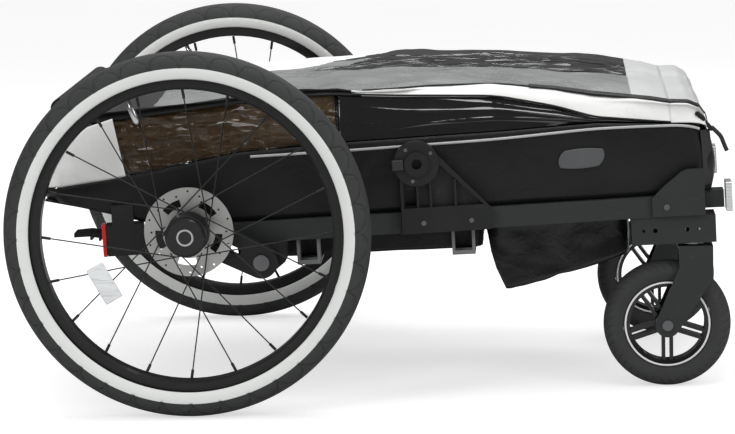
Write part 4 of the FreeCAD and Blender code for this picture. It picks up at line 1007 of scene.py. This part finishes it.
seatPad = dict(x0=120, x1=384, half=212, low=-27.0, high=17.0, crown=6.0, channels=(-106, 0, 106), cap=0.006,
               voxel=0.006, fill=0.6)
backPad = dict(near=76.0, far=424.0, half=209, low=29.5, high=18.5, crown=1.5, channels=(-150, -50, 50, 150),
               cap=0.004, voxel=0.006, fill=0.45)
channel = dict(deep=0.0035, wide=4.0)
hoopLine = dict(x=311.8, z=97.3, angle=math.atan2(183.9 - 97.3, 311.8 + 144.2))


def backSpot(reach, y, rise):
    # reach runs back along the folded hoop's tubes, and rise is square to them
    c, s = math.cos(hoopLine["angle"]), math.sin(hoopLine["angle"])
    return chassis(hoopLine["x"] - reach * c + rise * s, y, hoopLine["z"] + reach * s + rise * c)


def makePad(name, pad, a, b, low, high, spot, body, node):
    # a crowned closed block, swollen by a short cloth run, with sewn channels pressed in afterwards
    bm = bmesh.new()
    bmesh.ops.create_cube(bm, size=2.0)
    bmesh.ops.subdivide_edges(bm, edges=bm.edges, cuts=15, use_grid_fill=True)
    for vert in bm.verts:
        u, v, w = vert.co
        pull = 1 - 0.03 * (1 - w * w) * (1 - abs(u * v))
        crown = pad["crown"] * (1 - u * u) * (1 - v * v) if w > 0 else 0.0
        soft = 1 - 0.35 * max(abs(u), abs(v)) ** 8
        z = between(low, high, 0.5 + 0.5 * w * soft) + crown
        vert.co = spot(between(a, b, 0.5 + 0.5 * u * pull), pad["half"] * v * pull, z)
    piece = finishPiece(name, bm, "seatFabric")
    remesh = piece.modifiers.new("remesh", "REMESH")
    remesh.mode = "VOXEL"
    remesh.voxel_size = pad["voxel"]
    bakeModifiers(piece)
    rest = [v.co.copy() for v in piece.data.vertices]
    cloth = piece.modifiers.new("swell", "CLOTH")
    cloth.settings.use_pressure = True
    cloth.settings.uniform_pressure_force = 4.0
    cloth.settings.effector_weights.gravity = 0.0
    for step in range(1, 21):
        scene.frame_set(step)
    bakeModifiers(piece)
    scene.frame_set(1)
    for vert, start in zip(piece.data.vertices, rest):
        step = vert.co - start
        if step.length > pad["cap"]:
            vert.co = start + step.normalized() * pad["cap"]
    across = spot(0, 1, 0) - spot(0, 0, 0)
    upward = (spot(0, 0, 1) - spot(0, 0, 0)).normalized()
    foot = spot(a, 0, (low + high) / 2)
    for vert in piece.data.vertices:
        y = vert.co.dot(across) / across.length_squared
        gap = min(abs(y - line) for line in pad["channels"])
        if (vert.co - foot).dot(upward) > 0:
            vert.co -= upward * (channel["deep"] * math.exp(-(gap / channel["wide"]) ** 2))
    piece.data.shade_smooth()
    finer = piece.modifiers.new("finer", "SUBSURF")
    finer.levels = finer.render_levels = 1
    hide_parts(node)
    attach(piece, body)


def bakeModifiers(piece):
    solid = piece.evaluated_get(bpy.context.evaluated_depsgraph_get())
    mesh = bpy.data.meshes.new_from_object(solid)
    piece.modifiers.clear()
    old = piece.data
    for finish in old.materials:
        if finish and finish.name not in mesh.materials:
            mesh.materials.append(finish)
    piece.data = mesh
    bpy.data.meshes.remove(old)


makePad("seatCushion", seatPad, seatPad["x0"], seatPad["x1"], seatPad["low"], seatPad["high"], chassis,
        "chassis", "seat_cushion")
makePad("backCushion", backPad, backPad["near"], backPad["far"], -backPad["low"], -backPad["high"], backSpot,
        "rear_hoop", "backrest")
print("seat cushion and backrest made")


# ---- zip, sliders, pull and front binding ----

zipper = dict(pullTab=((720, -217, 120), (727, -218, 113), (733, -218, 106), (736, -218, 96),
                       (740, -218, 86)), row=2 / 9, half=0.016, fromX=470.0, lift=0.0014,
              slider=(0.017, 0.008, 0.006), sliders=((705.0, -221.0, 136.0, 0.75),
                                                     (716.0, -216.0, 122.0, 0.85)))


def zipSpot(u, v):
    # along the cover's lower seam, then over the nose to its lower edge
    v = zipper["row"] + (v - 0.5) * 2 * zipper["half"]
    if u < 0.6:
        x = between(zipper["fromX"], top["x1"], u / 0.6)
        return topPlace((x - top["x0"]) / (top["x1"] - top["x0"]), v)
    return nosePlace(min((u - 0.6) / 0.4, 0.999), v)


def zipPlace(u, v):
    spot = zipSpot(u, v)
    along = zipSpot(min(u + 0.01, 1), v) - zipSpot(max(u - 0.01, 0), v)
    across = zipSpot(u, v + 0.2) - zipSpot(u, v - 0.2)
    return spot + along.cross(across).normalized() * zipper["lift"]


def bevelBlock(name, size, place, finish, width):
    # place is a 4x4 matrix
    bm = bmesh.new()
    bmesh.ops.create_cube(bm, size=1.0)
    bmesh.ops.scale(bm, vec=size, verts=bm.verts)
    bmesh.ops.bevel(bm, geom=bm.edges[:], offset=width, segments=3, affect="EDGES", profile=0.5, material=-1)
    bmesh.ops.transform(bm, matrix=place, verts=bm.verts)
    return finishPiece(name, bm, finish)


def makeZip():
    tape = clothGrid("zipTape", 120, 6, zipPlace, "zipBlack")
    thicken(tape, 0.0012, offset=1.0)
    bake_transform(tape)

    def binding(u, v):
        x = 716.5 + 1.5 * math.sin(math.pi * u)
        return chassis(x - 13 * (1 - v), -between(224, 208, v) - 1.5, between(117, 40, u))

    strap = clothGrid("frontBinding", 40, 8, binding, "webbing")
    thicken(strap, 0.0016, offset=1.0)
    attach(strap, "chassis")
    for k, (x, y, z, tilt) in enumerate(zipper["sliders"]):
        place = Matrix.Translation(chassis(x, y, z)) @ Matrix.Rotation(tilt, 4, "Y")
        slider = bevelBlock("zipSlider_" + str(k), zipper["slider"], place, "zipBlack", 0.0018)
        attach(slider, "chassis")
    line = [chassis(*spot) for spot in zipper["pullTab"]]
    pull = cordTube("zipPull", line, 0.0030, "webbing")
    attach(pull, "chassis")


makeZip()


# ---- plain patch, tyre valves and wheel reflector ----

patch = dict(x=(507.0, 570.0), z=(74.0, 102.0), round=0.3)
valve = dict(angle=112.0, radii=(0.204, 0.164), stem=0.0034, cap=0.0046)
spokeReflector = dict(angle=209.0, radius=0.129, half=(0.027, 0.013), thick=0.006, out=0.013)


def makePatch():
    def spot(u, v):
        a, b = 2 * u - 1, 2 * v - 1
        across = a * math.sqrt(1 - patch["round"] * b * b)
        upward = b * math.sqrt(1 - patch["round"] * a * a)
        x = between(*patch["x"], 0.5 + 0.5 * across + 0.06 * upward)
        z = between(*patch["z"], 0.5 + 0.5 * upward)
        return chassis(x, -(shellHalf(x) + 4.6), z)

    piece = clothGrid("sidePatch", 24, 12, spot, "patchGrey")
    thicken(piece, 0.0008)
    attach(piece, "chassis")


def makeValve(side):
    centre = wheelCentre(side)
    turn = math.radians(valve["angle"])
    outward = Vector((math.cos(turn), 0, math.sin(turn)))
    bm = bmesh.new()
    far, near = valve["radii"]
    rows = [(far, valve["stem"]), (between(far, near, .3), valve["stem"]),
            (between(far, near, .34), valve["cap"]), (between(far, near, .9), valve["cap"]),
            (near, valve["stem"] * 0.7), (near - 0.001, 0.0)]
    edge = outward.cross(Vector((0, 1, 0)))
    chain = [bm.verts.new(centre + outward * r + edge * w) for r, w in rows]
    links = [bm.edges.new(pair) for pair in zip(chain, chain[1:])]
    bmesh.ops.spin(bm, geom=chain + links, cent=centre, axis=outward, angle=math.tau, steps=20,
                   use_merge=True)
    bmesh.ops.remove_doubles(bm, verts=bm.verts, dist=0.00005)
    piece = finishPiece("tyreValve_" + side, bm, "valveSilver")
    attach(piece, "wheel_" + side)


def makeSpokeReflector(side):
    sign = 1 if side == "left" else -1
    r = spokeReflector
    turn = math.radians(r["angle"])
    centre = Vector((axle.x + r["radius"] * math.cos(turn), sign * (wheelY + r["out"]),
                     axle.z + r["radius"] * math.sin(turn)))
    place = Matrix.Translation(centre) @ Matrix.Rotation(math.pi / 2 - turn, 4, "Y")
    piece = bevelBlock("spokeReflector_" + side, (2 * r["half"][0], r["thick"], 2 * r["half"][1]), place,
                       "reflectorClear", 0.0024)
    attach(piece, "wheel_" + side)


makePatch()
for side in ("left", "right"):
    makeValve(side)
makeSpokeReflector("right")
print("zip, patch, valves and reflector made")


# ---- camera, lights and floor ----

view = dict(place=(0.2252, -4.6853, 0.9168), pitch=8.53, yaw=3.03, roll=-1.42, lens=158.6, sensor=36.0)


def setCamera():
    pitch, yaw, roll = (math.radians(view[k]) for k in ("pitch", "yaw", "roll"))
    forward = Vector((-math.sin(yaw) * math.cos(pitch), math.cos(yaw) * math.cos(pitch), -math.sin(pitch)))
    side = Vector((math.cos(yaw), math.sin(yaw), 0.0))
    up = side.cross(forward)
    right = side * math.cos(roll) + up * math.sin(roll)
    top = up * math.cos(roll) - side * math.sin(roll)
    data = bpy.data.cameras.new("viewCamera")
    data.lens = view["lens"]
    data.sensor_width = view["sensor"]
    camera = addObject("viewCamera", data)
    turn = Matrix((right, top, -forward)).transposed().to_4x4()
    camera.matrix_world = Matrix.Translation(view["place"]) @ turn
    scene.camera = camera


lamps = {
    "overhead": dict(place=(0.1, 0.1, 2.4), aim=(0.0, 0.0, 0.2), size=(2.4, 1.0), power=30.0),
    "left": dict(place=(-1.6, -2.4, 2.0), aim=(0.0, 0.0, 0.25), size=(0.8, 1.4), power=20.0),
    "right": dict(place=(2.2, -1.8, 1.6), aim=(0.1, 0.0, 0.25), size=(0.6, 1.2), power=14.0),
    "behind": dict(place=(0.2, 2.4, 2.6), aim=(0.0, 0.0, 0.35), size=(2.6, 0.8), power=22.0),
}
stageLook = dict(size=40.0, floor=(0.62, 0.62, 0.62), glow=0.60, light=0.66, gloss=0.10)


def setStage():
    for name, lamp in lamps.items():
        data = bpy.data.lights.new(name, "AREA")
        data.shape = "RECTANGLE"
        data.size, data.size_y = lamp["size"]
        data.energy = lamp["power"]
        light = addObject(name, data)
        light.location = lamp["place"]
        aim = Vector(lamp["aim"]) - Vector(lamp["place"])
        light.rotation_euler = aim.to_track_quat("-Z", "Y").to_euler()
    bm = bmesh.new()
    bmesh.ops.create_grid(bm, x_segments=1, y_segments=1, size=stageLook["size"])
    mesh = bpy.data.meshes.new("floor")
    bm.to_mesh(mesh)
    bm.free()
    floor = addObject("floor", mesh)
    paint = bpy.data.materials.new("floorPaint")
    paint.use_nodes = True
    shader = paint.node_tree.nodes["Principled BSDF"]
    place = addNode(paint.node_tree, "TexCoord").outputs["Object"]
    cloud = addNode(paint.node_tree, "TexNoise", [(place, "Vector")], in2=3.0, in3=3.0)
    tone = addNode(paint.node_tree, "MapRange", [(cloud.outputs[0], 0)], in3=0.5, in4=0.6)
    paint.node_tree.links.new(tone.outputs[0], shader.inputs["Roughness"])
    shader.inputs["Base Color"].default_value = (*stageLook["floor"], 1)
    shader.inputs["Emission Color"].default_value = (1, 1, 1, 1)
    seen = addNode(paint.node_tree, "LightPath").outputs["Is Camera Ray"]
    glow = addNode(paint.node_tree, "Math", [(seen, 0)], operation="MULTIPLY", in1=stageLook["glow"])
    paint.node_tree.links.new(glow.outputs[0], shader.inputs["Emission Strength"])
    mesh.materials.append(paint)
    world = bpy.data.worlds.new("studio")
    scene.world = world
    world.use_nodes = True
    tree = world.node_tree
    path = addNode(tree, "LightPath")
    power = addNode(tree, "MapRange", [(path.outputs["Is Glossy Ray"], 0)], in3=stageLook["light"],
                    in4=stageLook["gloss"])
    back = tree.nodes["Background"]
    back.inputs["Color"].default_value = (1, 1, 1, 1)
    tree.links.new(power.outputs[0], back.inputs["Strength"])
    print("stage: lamps", len(lamps))


setCamera()
setStage()
scene.view_settings.view_transform = "Standard"
